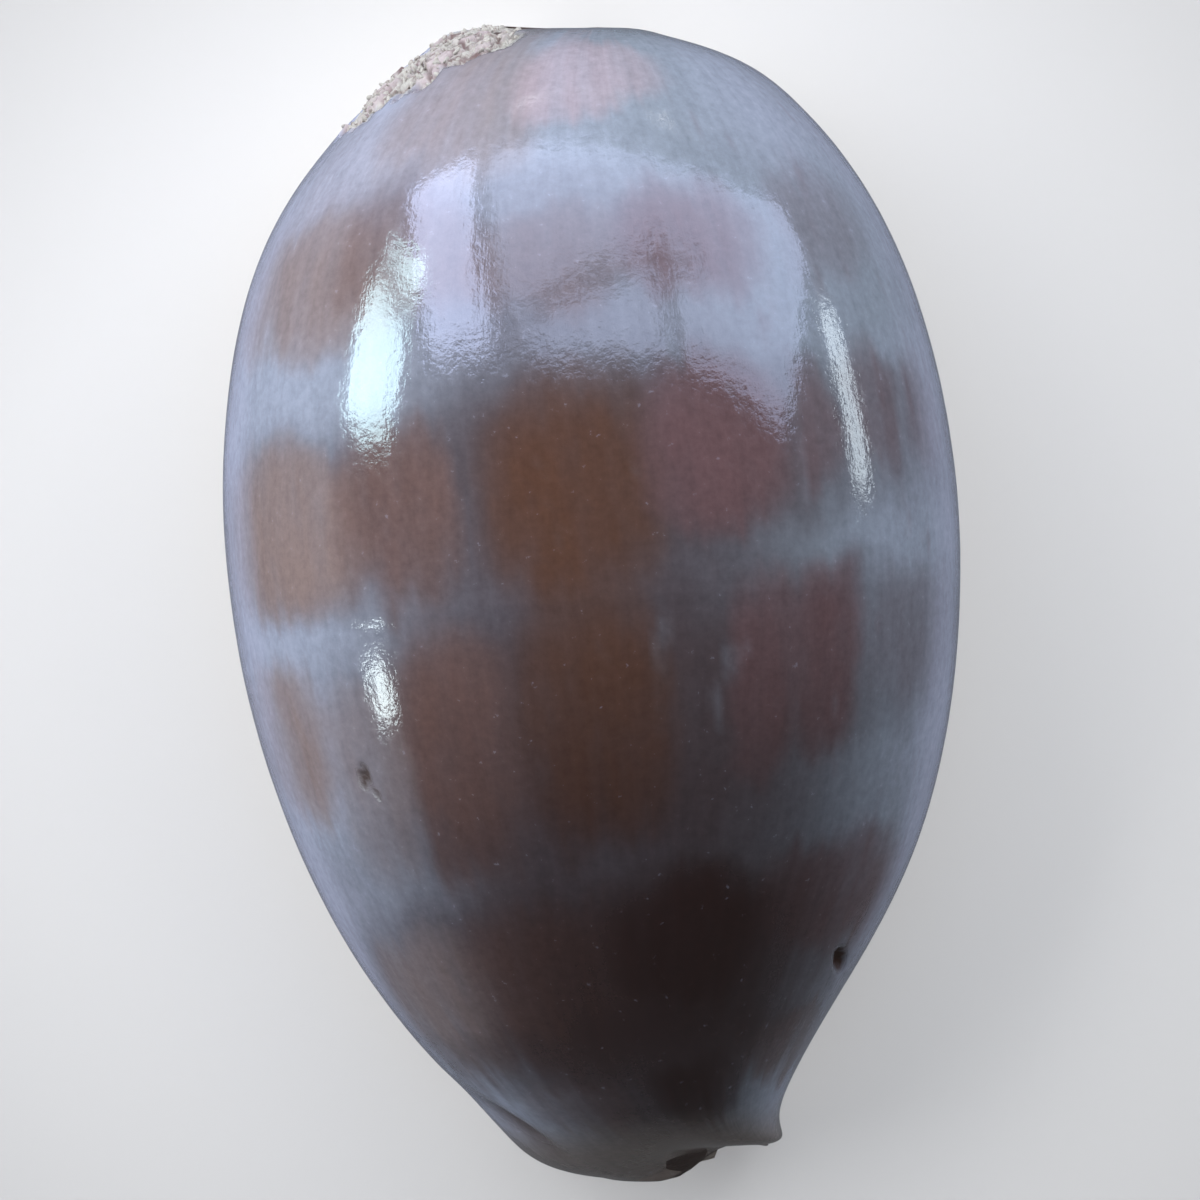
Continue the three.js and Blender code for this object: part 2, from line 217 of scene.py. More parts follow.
class Graph:
    """A node tree, and the one method that adds nodes to it."""

    def __init__(self, tree: bpy.types.NodeTree) -> None:
        """Keeps the tree."""
        self.tree = tree

    @staticmethod
    def _find(sockets: Sequence[bpy.types.NodeSocket], key: str | int) -> bpy.types.NodeSocket:
        """Finds a socket by index, identifier or name, in that order.

        Args:
            sockets: The sockets to look in.
            key: The index, identifier or name.

        Returns:
            The socket.
        """
        if isinstance(key, int):
            return sockets[key]
        for attribute in ("identifier", "name"):
            for socket in sockets:
                if getattr(socket, attribute) == key:
                    return socket
        raise KeyError(key)

    def node(self, kind: str, settings: Mapping[str, Any], sockets: Mapping[Any, Any]) -> bpy.types.Node:
        """Adds one node.

        Args:
            kind: The node's type name.
            settings: Properties that are set before its sockets. "items" grows an index switch to that
                many items.
            sockets: Values or links by socket index, identifier or name.

        Returns:
            The new node.
        """
        made = self.tree.nodes.new(kind)
        for name, setting in settings.items():
            if name == "items":
                while len(made.index_switch_items) < setting:
                    made.index_switch_items.new()
            else:
                setattr(made, name, setting)
        for key, given in sockets.items():
            socket = self._find(made.inputs, key)
            if isinstance(given, Value):
                self.tree.links.new(given.socket, socket)
            elif isinstance(given, (int, float)) and socket.type in ("VECTOR", "RGBA"):
                socket.default_value = [given] * len(socket.default_value)
            else:
                socket.default_value = given
        return made

    def value(
        self,
        kind: str,
        settings: Mapping[str, Any],
        sockets: Mapping[Any, Any],
        output: str | int = 0,
    ) -> Value:
        """Adds one node and wraps one of its outputs."""
        return Value(self, self._find(self.node(kind, settings, sockets).outputs, output))

    def math(self, operation: str, *operands: Any) -> Value:
        """A Math node on one, two or three numbers."""
        return self.value("ShaderNodeMath", {"operation": operation}, dict(enumerate(operands)))

    def vector(self, operation: str, left: Any, right: Any = 0.0) -> Value:
        """A Vector Math node on two vectors; a lone number is used for all three parts."""
        return self.value("ShaderNodeVectorMath", {"operation": operation}, {0: left, 1: right})

    def joined(self, x: Any, y: Any, z: Any) -> Value:
        """A vector from its three parts."""
        return self.value("ShaderNodeCombineXYZ", {}, {"X": x, "Y": y, "Z": z})

    def noise(self, place: Value, scale: float, detail: float = 2.0, roughness: float = 0.5) -> Value:
        """Noise about 0, from about -0.5 to 0.5, that a vector in millimetres looks up."""
        sockets = {"Vector": place, "Scale": scale, "Detail": detail, "Roughness": roughness}
        return self.value("ShaderNodeTexNoise", {}, sockets, 0) - 0.5

    def tint(self, under: Any, over: Any, share: Any) -> Value:
        """One colour laid over another.

        Args:
            under: The colour below, as a tint or a value.
            over: The colour on top.
            share: How much of the top colour shows, from 0 to 1.

        Returns:
            The mixed colour.
        """
        colours = {"A_Color": self._colour(under), "B_Color": self._colour(over)}
        settings = {"data_type": "RGBA", "clamp_factor": True}
        return self.value("ShaderNodeMix", settings, {"Factor_Float": share, **colours}, "Result_Color")

    @staticmethod
    def _colour(given: Any) -> Any:
        """A named tint as its numbers, and anything else as it is."""
        return given.rgba() if isinstance(given, Tint) else given


class FieldGraph(Graph):
    """A Geometry Nodes tree with one geometry going in and one coming out."""

    def __init__(self, name: str) -> None:
        """Makes an empty tree with its geometry sockets.

        Args:
            name: The tree's name.
        """
        tree = bpy.data.node_groups.new(name, "GeometryNodeTree")
        super().__init__(tree)
        tree.interface.new_socket("Geometry", in_out="OUTPUT", socket_type="NodeSocketGeometry")
        tree.interface.new_socket("Geometry", in_out="INPUT", socket_type="NodeSocketGeometry")
        self.entry = self.tree.nodes.new("NodeGroupInput")
        self.identifiers: dict[str, str] = {}

    def geometry(self) -> Value:
        """The geometry that comes in."""
        return Value(self, self.entry.outputs[0])

    def given(self, name: str, kind: str = "NodeSocketFloat") -> Value:
        """Adds a named input to the tree and returns it.

        Args:
            name: The input's name.
            kind: Its socket's type.

        Returns:
            The input's value.
        """
        item = self.tree.interface.new_socket(name, in_out="INPUT", socket_type=kind)
        self.identifiers[name] = item.identifier
        return Value(self, self._find(self.entry.outputs, item.identifier))

    def attribute(self, name: str, data_type: str = "FLOAT") -> Value:
        """A point attribute of the geometry."""
        settings = {"data_type": data_type}
        return self.value("GeometryNodeInputNamedAttribute", settings, {"Name": name}, "Attribute")

    def store(self, geometry: Value, name: str, value: Value, data_type: str = "FLOAT") -> Value:
        """The geometry with a number or colour kept on its points under a name."""
        sockets = {"Geometry": geometry, "Name": name, "Value": value}
        return self.value("GeometryNodeStoreNamedAttribute", {"data_type": data_type}, sockets, "Geometry")

    def move(self, geometry: Value, sockets: Mapping[str, Value]) -> Value:
        """The geometry with its points moved."""
        return self.value("GeometryNodeSetPosition", {}, {"Geometry": geometry, **sockets}, "Geometry")

    def choose(self, index: Value, options: Sequence[Any]) -> Value:
        """The option that the index names.

        Args:
            index: The option's number, from 0.
            options: The options.

        Returns:
            The chosen one.
        """
        sockets = {"Index": index, **{place + 1: option for place, option in enumerate(options)}}
        settings = {"data_type": "FLOAT", "items": len(options)}
        return self.value("GeometryNodeIndexSwitch", settings, sockets, "Output")

    def finish(self, geometry: Value) -> None:
        """Ends the tree: smooth shading, real instances, and the material that comes in by name.

        Args:
            geometry: The geometry that goes out.
        """
        smooth = self.value("GeometryNodeSetShadeSmooth", {}, {"Geometry": geometry})
        real = self.value("GeometryNodeRealizeInstances", {}, {"Geometry": smooth})
        material = self.given("Material", "NodeSocketMaterial")
        dressed = self.value("GeometryNodeSetMaterial", {}, {"Geometry": real, "Material": material})
        out = self.tree.nodes.new("NodeGroupOutput")
        self.tree.links.new(dressed.socket, out.inputs[0])

    def applied(self, name: str, mesh: bpy.types.Mesh, inputs: Mapping[str, Any]) -> bpy.types.Object:
        """Runs the tree on a mesh and keeps the result as a plain mesh object.

        Args:
            name: The new object's name.
            mesh: The mesh that goes in.
            inputs: Values of the tree's named inputs.

        Returns:
            An object at the origin, linked to the scene, with no modifier.
        """
        carrier = bpy.data.objects.new(f"{name}_carrier", mesh)
        bpy.context.scene.collection.objects.link(carrier)
        modifier = carrier.modifiers.new(self.tree.name, "NODES")
        modifier.node_group = self.tree
        for key, value in inputs.items():
            modifier[self.identifiers[key]] = value
        depsgraph = bpy.context.evaluated_depsgraph_get()
        source = carrier.evaluated_get(depsgraph)
        made = bpy.data.meshes.new_from_object(source, preserve_all_data_layers=True, depsgraph=depsgraph)
        made.name = name
        bpy.data.objects.remove(carrier)
        piece = bpy.data.objects.new(name, made)
        bpy.context.scene.collection.objects.link(piece)
        return piece


class ShaderGraph(Graph):
    """A material's node tree round one Principled shader."""

    def __init__(self, name: str, constants: Mapping[str, Any]) -> None:
        """Makes the material, with the shader's constant sockets set.

        Args:
            name: The material's name.
            constants: Values of the shader's own sockets by name.
        """
        self.material = bpy.data.materials.new(name)
        self.material.use_nodes = True
        super().__init__(self.material.node_tree)
        self.tree.nodes.clear()
        self.shader = self.node("ShaderNodeBsdfPrincipled", {}, constants)
        output = self.node("ShaderNodeOutputMaterial", {}, {})
        self.tree.links.new(self.shader.outputs[0], output.inputs["Surface"])

    def place(self) -> Value:
        """The place on the piece, in millimetres."""
        return self.value("ShaderNodeTexCoord", {}, {}, "Object") * MM_PER_M

    def attribute(self, name: str, output: str = "Fac") -> Value:
        """A number kept on the piece's points, or a colour where the output is Color."""
        return self.value("ShaderNodeAttribute", {"attribute_name": name}, {}, output)

    def feed(self, name: str, value: Value) -> None:
        """Links a value to one of the shader's sockets."""
        self.tree.links.new(value.socket, self.shader.inputs[name])

    def bump(self, height: Value, depth: float) -> None:
        """Feeds the shader's Normal from a height in millimetres, at a depth scale."""
        sockets = {"Height": height, "Distance": depth / MM_PER_M, "Strength": 1.0}
        self.feed("Normal", self.value("ShaderNodeBump", {}, sockets, "Normal"))


def mix(a: Any, b: Any, share: Any) -> Any:
    """The value that is the given share of the way from a to b."""
    return a + (b - a) * share


def sine(degrees: Value) -> Value:
    """The sine of an angle in degrees."""
    return degrees.graph.math("SINE", degrees * RADIANS_PER_DEGREE)


def cosine(degrees: Value) -> Value:
    """The cosine of an angle in degrees."""
    return degrees.graph.math("COSINE", degrees * RADIANS_PER_DEGREE)


def bell(distance: Value) -> Value:
    """A bell curve, 1 at no distance and 0.37 at a distance of 1."""
    return (distance * distance * -1.0).exp()


class Spot(NamedTuple):
    """A point of a section: x towards the columellar side and z up."""

    x: Any
    z: Any

    def toward(self, other: "Spot", share: Any) -> "Spot":
        """The point the given share of the way to another."""
        return Spot(mix(self.x, other.x, share), mix(self.z, other.z, share))


# --- The shell's form ---------------------------------------------------------------------------------------


class Piece(IntEnum):
    """The stretches of the shell's section, from the labral free edge to the whorl's free edge."""

    LABRAL_FOLD = 0
    LABRAL_BASE = 1
    LABRAL_FLANK = 2
    COLUMELLAR_FLANK = 3
    COLUMELLAR_BASE = 4
    COLUMELLAR_FOLD = 5
    WHORL = 6


@dataclass(frozen=True)
class LipEnd:
    """How one lip runs out into its beak beside a canal."""

    width: float  # what the beak adds to the plan
    trim: float  # what is taken off the plan further in
    setback: float  # how far the beak's outer side stands back from the tip
    slit_setback: float  # how much further its side towards the slit stands back
    roof_turn: float  # the turn over which the roof's setback gives way to the beak's
    rounding: float  # stations round the wall's rim


@dataclass(frozen=True)
class ShellEnd:
    """One end of the shell, with the two lips that frame its canal."""

    height: float
    slope: float  # how fast the crest falls towards the end
    slit_x: float
    bow: float  # how late the slit bends towards its end
    canal_half_width: float
    spread: float  # stations over which the beaks reach inwards
    trim_at: float  # the station where the trim is deepest
    roof_setback: float
    labral: LipEnd
    columellar: LipEnd


@dataclass(frozen=True)
class ShellSizes:
    """The driving sizes of the wall, the aperture and the two ends, in millimetres and degrees."""

    length: float
    width: float
    height: float
    front: ShellEnd = ShellEnd(
        height=8.5, slope=1.2, slit_x=6.0, bow=2.5, canal_half_width=0.85,
        spread=22.5, trim_at=45, roof_setback=2.0,
        labral=LipEnd(width=5, trim=0, setback=0, slit_setback=1.8, roof_turn=0.25, rounding=28),
        columellar=LipEnd(width=8.4, trim=0.9, setback=1.5, slit_setback=0.5, roof_turn=0.5, rounding=16),
    )
    rear: ShellEnd = ShellEnd(
        height=12.5, slope=1.0, slit_x=2.1, bow=3.0, canal_half_width=1.9,
        spread=11, trim_at=60, roof_setback=1.2,
        labral=LipEnd(width=4, trim=1.3, setback=0, slit_setback=1.0, roof_turn=0.5, rounding=24),
        columellar=LipEnd(width=3.4, trim=0.4, setback=1.9, slit_setback=-0.4, roof_turn=0.5, rounding=30),
    )
    labral_widest_at: float = 8
    columellar_widest_at: float = 7
    crest_at: float = 6
    base_lift: float = 1.8
    flat_spot: float = 0.35
    labral_margin: float = 0.27
    columellar_margin: float = 0.34
    back_fullness: float = 2.15
    base_fullness: float = 2.9
    trim_spread: float = 15
    end_spread: float = 34
    slit_middle_x: float = -1.6
    slit_half_width: float = 1.65
    lip_radius: float = 2.5
    lip_height: float = 5.6
    end_lip_radius: float = 1.3
    end_lip_height: float = 4.4
    teeth: float = 26
    tooth_depth: float = 0.75
    toothed_half_length: float = 31
    back_wall: float = 1.5
    margin_wall: float = 2.7
    base_wall: float = 2.6
    whorl_wall: float = 1.8
    canal_wall: float = 2.3
    canal_swell: float = 0.7
    slimming_width: float = 4
    whorl_radius_x: float = 7.6
    whorl_radius_z: float = 6.6
    whorl_centre_z: float = 12
    whorl_end_angle: float = -35
    whorl_clearance: float = 1.5


def named_sizes(sizes: Any, prefix: str = "") -> Iterator[tuple[str, float]]:
    """Every number of a sizes dataclass, with the plain name of its tree input.

    Args:
        sizes: The dataclass.
        prefix: What the names start with.

    Yields:
        Each name with its number.
    """
    for entry in fields(sizes):
        value = getattr(sizes, entry.name)
        name = prefix + entry.name.replace("_", " ")
        if is_dataclass(value):
            yield from named_sizes(value, f"{name} ")
        else:
            yield name, float(value)


def size_inputs(graph: FieldGraph, sizes: Any, prefix: str = "") -> SimpleNamespace:
    """Adds a named input for every number of a sizes dataclass, and returns them under its field names.

    Args:
        graph: The tree that gets the inputs.
        sizes: The dataclass.
        prefix: What the inputs' names start with.

    Returns:
        The inputs, by field name.
    """
    made = SimpleNamespace()
    for entry in fields(sizes):
        value = getattr(sizes, entry.name)
        name = prefix + entry.name.replace("_", " ")
        nested = is_dataclass(value)
        setattr(made, entry.name, size_inputs(graph, value, f"{name} ") if nested else graph.given(name))
    return made


def chosen_end(rear: SimpleNamespace, front: SimpleNamespace, is_front: Value) -> SimpleNamespace:
    """The sizes of whichever end a place belongs to.

    Args:
        rear: The rear end's sizes.
        front: The front end's sizes.
        is_front: 1 where a place belongs to the front end.

    Returns:
        The sizes as fields.
    """
    made = SimpleNamespace()
    for name, value in vars(rear).items():
        other = getattr(front, name)
        nested = isinstance(value, SimpleNamespace)
        setattr(made, name, chosen_end(value, other, is_front) if nested else mix(value, other, is_front))
    return made


class ShellForm:
    """The rule that turns a place on the mould into a place on the shell, as fields of one tree.

    Stations are angles along the shell, from -90 at the front tip to 90 at the rear tip. Turns go round the
    section, from -1 at the labral free edge, over 0 on the crest, to 1 at the columellar lip.
    """

    TIP = 90  # the station of a tip
    CANAL_FROM, CANAL_OVER = 50, 40  # stations where the hollow starts to close into a canal, and has closed
    ROLL_TO, ROLL_OVER = 54, 26  # the station where the whorl's roll ends, and how long it fades before that
    CREST_BENDS_FROM, CREST_BENDS_OVER = 30, 60
    BEAK_FLATNESS = 2.6  # exponent of the beaks' rise towards the tips
    LIP_TOP_MIDDLE, LIP_TOP_END = 90, 15  # how far round a lip goes before it meets the hollow, in degrees
    HOLLOW_SHOULDER, CANAL_SHOULDER = 0.3, 0.5  # the hollow's widest line, as a share of its height
    HOLLOW_FLOOR_REACH = 0.3  # share of the labral base that the hollow's level floor starts from
    CANAL_BULGE = 1.0  # how far a canal's side is drawn out of a straight line
    FOOT_BELOW_LIP, FOOT_ABOVE_FLOOR = 0.3, 0.6
    FOOT_OUT = 1.2  # how far out the whorl's foot stands, in lip radii
    FOOT_SHARE = 0.6  # share of the columellar floor that lies before the whorl's foot
    FLOOR_BEND = 0.4  # where the floor starts to rise to the foot, as a share of its width
    WHORL_FOOT_BEND, WHORL_RISE_BEND = 0.6, 0.4
    WHORL_WALL_TURN = 0.3  # share of the whorl's inside that is the upright part of its wall
    WHORL_EDGE_FULLNESS = 5  # how late the whorl's wall thins towards its free edge
    LIPS_SHARE_RIM = (-0.4, 0.1)  # turns over which the labral rounding of a rim gives way to the columellar
    MARGIN_TURN = 0.5

    def __init__(self, graph: FieldGraph, sizes: SimpleNamespace) -> None:
        """Reads the mould's attributes and works out the section at every station.

        Args:
            graph: The tree that the fields go into.
            sizes: The tree's size inputs.
        """
        self.graph = graph
        self.sizes = sizes
        self.station = graph.attribute("station")
        self.share = graph.attribute("share")
        self.turn = graph.attribute("turn")
        self.inside = graph.attribute("inside")
        self.piece = graph.attribute("piece", "INT")
        self.section = self._section()
        self.whorl = self._whorl()

    def _section(self) -> SimpleNamespace:
        """Everything that the section at one station angle needs.

        Returns:
            The section's sizes by name.
        """
        size, station = self.sizes, self.station
        away = abs(station)
        is_front = station.below(0.0)
        end = chosen_end(size.rear, size.front, is_front)
        to_end = ((away - self.CANAL_FROM) / self.CANAL_OVER).rise(0.0, 1.0)
        beak = ((((self.TIP - away) / end.spread) ** self.BEAK_FLATNESS) * -1.0).exp()
        trim = bell((away - end.trim_at) / size.trim_spread)
        labral_round = cosine(station - size.labral_widest_at).most(0.0)
        columellar_round = cosine(station - size.columellar_widest_at).most(0.0)
        left = size.width / 2 * labral_round + end.labral.width * beak - end.labral.trim * trim
        right = size.width / 2 * columellar_round + end.columellar.width * beak - end.columellar.trim * trim
        middle = cosine(station)
        bottom = size.base_lift * (1 - middle) ** 2 - size.flat_spot * middle**2
        crest = cosine(station - size.crest_at).most(0.0) ** end.slope
        top = end.height + (size.height - end.height) * crest
        slit = mix(size.slit_middle_x, end.slit_x, abs(sine(station)) ** end.bow)
        inner_top = top - mix(size.back_wall, size.canal_wall, to_end)
        gap = mix(size.slit_half_width, end.canal_half_width, to_end)
        canal = gap + size.canal_swell
        slim = 1 - ((slit + gap - right) / size.slimming_width).exp()
        crest_bend = ((away - self.CREST_BENDS_FROM) / self.CREST_BENDS_OVER).rise(0.0, 1.0)
        return SimpleNamespace(
            end=end,
            is_front=is_front,
            to_rim=self.TIP - away,
            to_end=to_end,
            left=left,
            right=right,
            bottom=bottom,
            top=top,
            slit=slit,
            gap=gap,
            inner_top=inner_top,
            crest_x=slit * crest_bend,
            lip_radius=mix(size.lip_radius, size.end_lip_radius, to_end) * slim,
            lip_height=mix(size.lip_height, size.end_lip_height, to_end),
            lip_top=mix(self.LIP_TOP_MIDDLE, self.LIP_TOP_END, to_end),
            roll=((self.ROLL_TO - away) / self.ROLL_OVER).rise(0.0, 1.0),
            left_z=mix(bottom, top, size.labral_margin),
            right_z=mix(bottom, top, size.columellar_margin),
            inner_left=mix(left - size.margin_wall, canal - slit, to_end),
            inner_right=mix(right - size.margin_wall * slim, canal + slit, to_end),
            inner_margin_z=mix(
                bottom + size.base_wall, inner_top, mix(self.HOLLOW_SHOULDER, self.CANAL_SHOULDER, to_end)
            ),
        )

    def _whorl(self) -> SimpleNamespace:
        """The roll of the inner whorl, which shrinks to the columellar lip's rounding towards the ends.

        Returns:
            The roll's centre, its two radii, and the angle where it ends.
        """
        s, size = self.section, self.sizes
        room = (s.inner_right - size.whorl_clearance - s.slit - s.gap) / 2
        radius_x = mix(s.lip_radius, size.whorl_radius_x.least(room), s.roll)
        return SimpleNamespace(
            radius=Spot(radius_x, mix(s.lip_height / 2, size.whorl_radius_z, s.roll)),
            centre=Spot(
                s.slit + s.gap + radius_x, mix(s.bottom + s.lip_height / 2, size.whorl_centre_z, s.roll)
            ),
            end=mix(180 - s.lip_top, size.whorl_end_angle, s.roll),
        )

    @staticmethod
    def _on_ellipse(centre: Spot, radius: Spot, angle: Any) -> Spot:
        """The point of an ellipse at an angle."""
        return Spot(centre.x + radius.x * cosine(angle), centre.z + radius.z * sine(angle))

    @staticmethod
    def _quarter(upright: Spot, level: Spot, fullness: Value, share: Any) -> Spot:
        """A quarter round from where it runs upright to where it lies level, swollen at its middle.

        Args:
            upright: The point where it runs upright.
            level: The point where it lies level.
            fullness: How square it is; 2 is an ellipse.
            share: The share of the way from upright to level.

        Returns:
            The point.
        """
        angle = share * 90
        swell = (2 ** 0.5) * (0.5 ** (1 / fullness)) - 1
        reach = 1 + swell * sine(angle * 2) ** 2
        return Spot(
            level.x + (upright.x - level.x) * cosine(angle) * reach,
            upright.z + (level.z - upright.z) * sine(angle) * reach,
        )

    @staticmethod
    def _bezier(points: Sequence[Spot], share: Value) -> Spot:
        """A cubic curve through its first and last points.

        Args:
            points: The four points.
            share: The share of the way along.

        Returns:
            The point.
        """
        rest = 1 - share
        weights = (rest**3, 3 * rest**2 * share, 3 * rest * share**2, share**3)
        return Spot(
            sum(weight * point.x for weight, point in zip(weights, points)),
            sum(weight * point.z for weight, point in zip(weights, points)),
        )

    def _lip_centre(self, side: int) -> Spot:
        """The middle of a lip's rounding, on the labral (-1) or columellar (1) side."""
        s = self.section
        return Spot(s.slit + side * (s.gap + s.lip_radius), s.bottom + s.lip_height / 2)

    def _labral_fold(self, share: Any) -> Spot:
        """A point of the labral lip's rounding.

        Args:
            share: The share of the way from the hollow to the base.

        Returns:
            The point.
        """
        s = self.section
        radius = Spot(s.lip_radius, s.lip_height / 2)
        return self._on_ellipse(self._lip_centre(-1), radius, mix(s.lip_top, -90, share))

    def outer(self) -> Spot:
        """The point of the outer sheet.

        Returns:
            The point, in the plane of the section.
        """
        s, size, f = self.section, self.sizes, self.share
        labral, columellar = self._lip_centre(-1), self._lip_centre(1)
        left, right = Spot(-s.left, s.left_z), Spot(s.right, s.right_z)
        crest = Spot(s.crest_x, s.top)
        radius = Spot(s.lip_radius, s.lip_height / 2)
        spots = (
            self._labral_fold(f),
            self._quarter(left, Spot(labral.x, s.bottom), size.base_fullness, 1 - f),
            self._quarter(left, crest, size.back_fullness, f),
            self._quarter(right, crest, size.back_fullness, 1 - f),
            self._quarter(right, Spot(columellar.x, s.bottom), size.base_fullness, f),
            self._on_ellipse(columellar, radius, -90 - f * 90),
            self._on_ellipse(self.whorl.centre, self.whorl.radius, mix(180, self.whorl.end, f)),
        )
        return self._chosen(spots)

    def _chosen(self, spots: Sequence[Spot]) -> Spot:
        """The point that belongs to the place's own piece.

        Args:
            spots: One point for each piece of the section.

        Returns:
            The own piece's point.
        """
        return Spot(
            self.graph.choose(self.piece, [spot.x for spot in spots]),
            self.graph.choose(self.piece, [spot.z for spot in spots]),
        )

    def _inner_base(self, share: Value) -> Spot:
        """The hollow side of the labral base, or the canal's labral wall.

        Args:
            share: The share of the way from the free edge to the margin.

        Returns:
            The point.
        """
        s = self.section
        free = self._labral_fold(0.0 * self.share)
        wall = -s.inner_left
        floor = s.bottom + self.sizes.base_wall
        margin = Spot(wall, s.inner_margin_z)
        reach, bulge = self.HOLLOW_FLOOR_REACH, self.CANAL_BULGE
        hollow = (free, Spot(mix(free.x, wall, reach), floor), Spot(wall, floor), margin)
        canal = (free, Spot(free.x, free.z + bulge), Spot(wall, s.inner_margin_z - bulge), margin)
        return self._bezier(hollow, share).toward(self._bezier(canal, share), s.to_end)

    def _whorl_foot(self) -> Spot:
        """Where the whorl's hollow side meets the hollow's floor.

        Returns:
            The point.
        """
        s, size = self.section, self.sizes
        x = s.slit + s.gap + s.lip_radius
        below_lip = s.bottom + s.lip_height - self.FOOT_BELOW_LIP
        above_floor = s.bottom + size.base_wall + self.FOOT_ABOVE_FLOOR
        hollow = Spot(x + s.lip_radius * self.FOOT_OUT * s.roll, mix(below_lip, above_floor, s.roll))
        middle = mix(s.bottom + s.lip_height / 2, s.inner_margin_z, self.FOOT_SHARE)
        return hollow.toward(Spot(s.inner_right, middle), s.to_end)

    def _inner_columellar_base(self, share: Value) -> Spot:
        """The hollow's floor on the columellar side.

        Args:
            share: The share of the way from the margin to the whorl's foot.

        Returns:
            The point.
        """
        s = self.section
        foot = self._whorl_foot()
        floor = s.bottom + self.sizes.base_wall
        margin = Spot(s.inner_right, s.inner_margin_z)
        bend = Spot(mix(foot.x, s.inner_right, self.FLOOR_BEND), foot.z)
        hollow = (margin, Spot(s.inner_right, floor), bend, foot)
        return self._bezier(hollow, share).toward(margin.toward(foot, share), s.to_end)

    def _inside_whorl(self) -> Spot:
        """Inside the roll: up its hollow side to the free edge, where the wall thins to nothing.

        Returns:
            The point.
        """
        s, size, whorl, f = self.section, self.sizes, self.whorl, self.share
        foot = self._whorl_foot()
        free = self._on_ellipse(whorl.centre, whorl.radius, whorl.end)
        wall = Spot(whorl.centre.x - whorl.radius.x + size.whorl_wall, whorl.centre.z)
        bend = Spot(wall.x + self.WHORL_FOOT_BEND, foot.z)
        rise = Spot(wall.x, mix(foot.z, wall.z, self.WHORL_RISE_BEND))
        rising = self._bezier((foot, bend, rise, wall), f / self.WHORL_WALL_TURN)
        on = (f - self.WHORL_WALL_TURN) / (1 - self.WHORL_WALL_TURN)
        thickness = size.whorl_wall * (1 - on.most(0.0) ** self.WHORL_EDGE_FULLNESS).most(0.0).root()
        radius = Spot(whorl.radius.x - thickness, whorl.radius.z - thickness)
        rolled = self._on_ellipse(whorl.centre, radius, mix(180, whorl.end, on))
        open_roll = rolled.toward(rising, f.below(self.WHORL_WALL_TURN))
        return foot.toward(free, f).toward(open_roll, s.roll)

    def inner(self) -> Spot:
        """The point of the inner sheet, which faces the hollow and lines the canals.

        Returns:
            The point, in the plane of the section.
        """
        s, size, f = self.section, self.sizes, self.share
        left, right = Spot(-s.inner_left, s.inner_margin_z), Spot(s.inner_right, s.inner_margin_z)
        crest = Spot(s.crest_x, s.inner_top)
        floor, floor_share = self._inner_columellar_base, self.FOOT_SHARE
        spots = (
            self._inner_base(f * 0.5),
            self._inner_base(0.5 + f * 0.5),
            self._quarter(left, crest, size.back_fullness, f),
            self._quarter(right, crest, size.back_fullness, 1 - f),
            floor(f * floor_share),
            floor(floor_share + f * (1 - floor_share)),
            self._inside_whorl(),
        )
        return self._chosen(spots)

    def opening(self) -> Value:
        """How far the two sheets stand apart, from 0 at the rim of an end to 1 in the body of the shell.

        Returns:
            The share.
        """
        s = self.section
        across = self.turn.rise(*self.LIPS_SHARE_RIM)
        rounding = mix(s.end.labral.rounding, s.end.columellar.rounding, across)
        return sine((s.to_rim / rounding).least(1.0) * 90)

    def along(self) -> Value:
        """The place's y, with the canals' roofs and beaks standing back from the tips.

        Returns:
            The y, in millimetres.
        """
        s = self.section
        lip_share = self.turn.below(0.0)
        labral, columellar = s.end.labral, s.end.columellar
        setback = mix(columellar.setback, labral.setback, lip_share)
        slit_setback = mix(columellar.slit_setback, labral.slit_setback, lip_share)
        down = abs(self.turn)
        roof = down.rise(0.0, mix(columellar.roof_turn, labral.roof_turn, lip_share))
        stand = mix(s.end.roof_setback, setback, roof) + slit_setback * down.rise(self.MARGIN_TURN, 1.0)
        outward = 1 - s.is_front * 2
        fade = (1 - s.to_rim / self.sizes.end_spread).rise(0.0, 1.0)
        return self.sizes.length / 2 * sine(self.station) - outward * stand * fade

    def place(self) -> tuple[Value, Value]:
        """The point on the shell, in millimetres, and its share of the half width from the crest line.

        Returns:
            The place as a vector, and how far across the back it is, from -1 to 1 at the widest lines.
        """
        opening = self.opening()
        outer, inner = self.outer(), self.inner()
        own = outer.toward(inner, self.inside)
        spot = outer.toward(inner, 0.5).toward(own, opening)
        s = self.section
        off_crest = spot.x - s.crest_x
        half_width = mix(s.left + s.crest_x, s.right - s.crest_x, 1 - off_crest.below(0.0))
        return self.graph.joined(spot.x, self.along(), spot.z.most(0.0)), off_crest / half_width


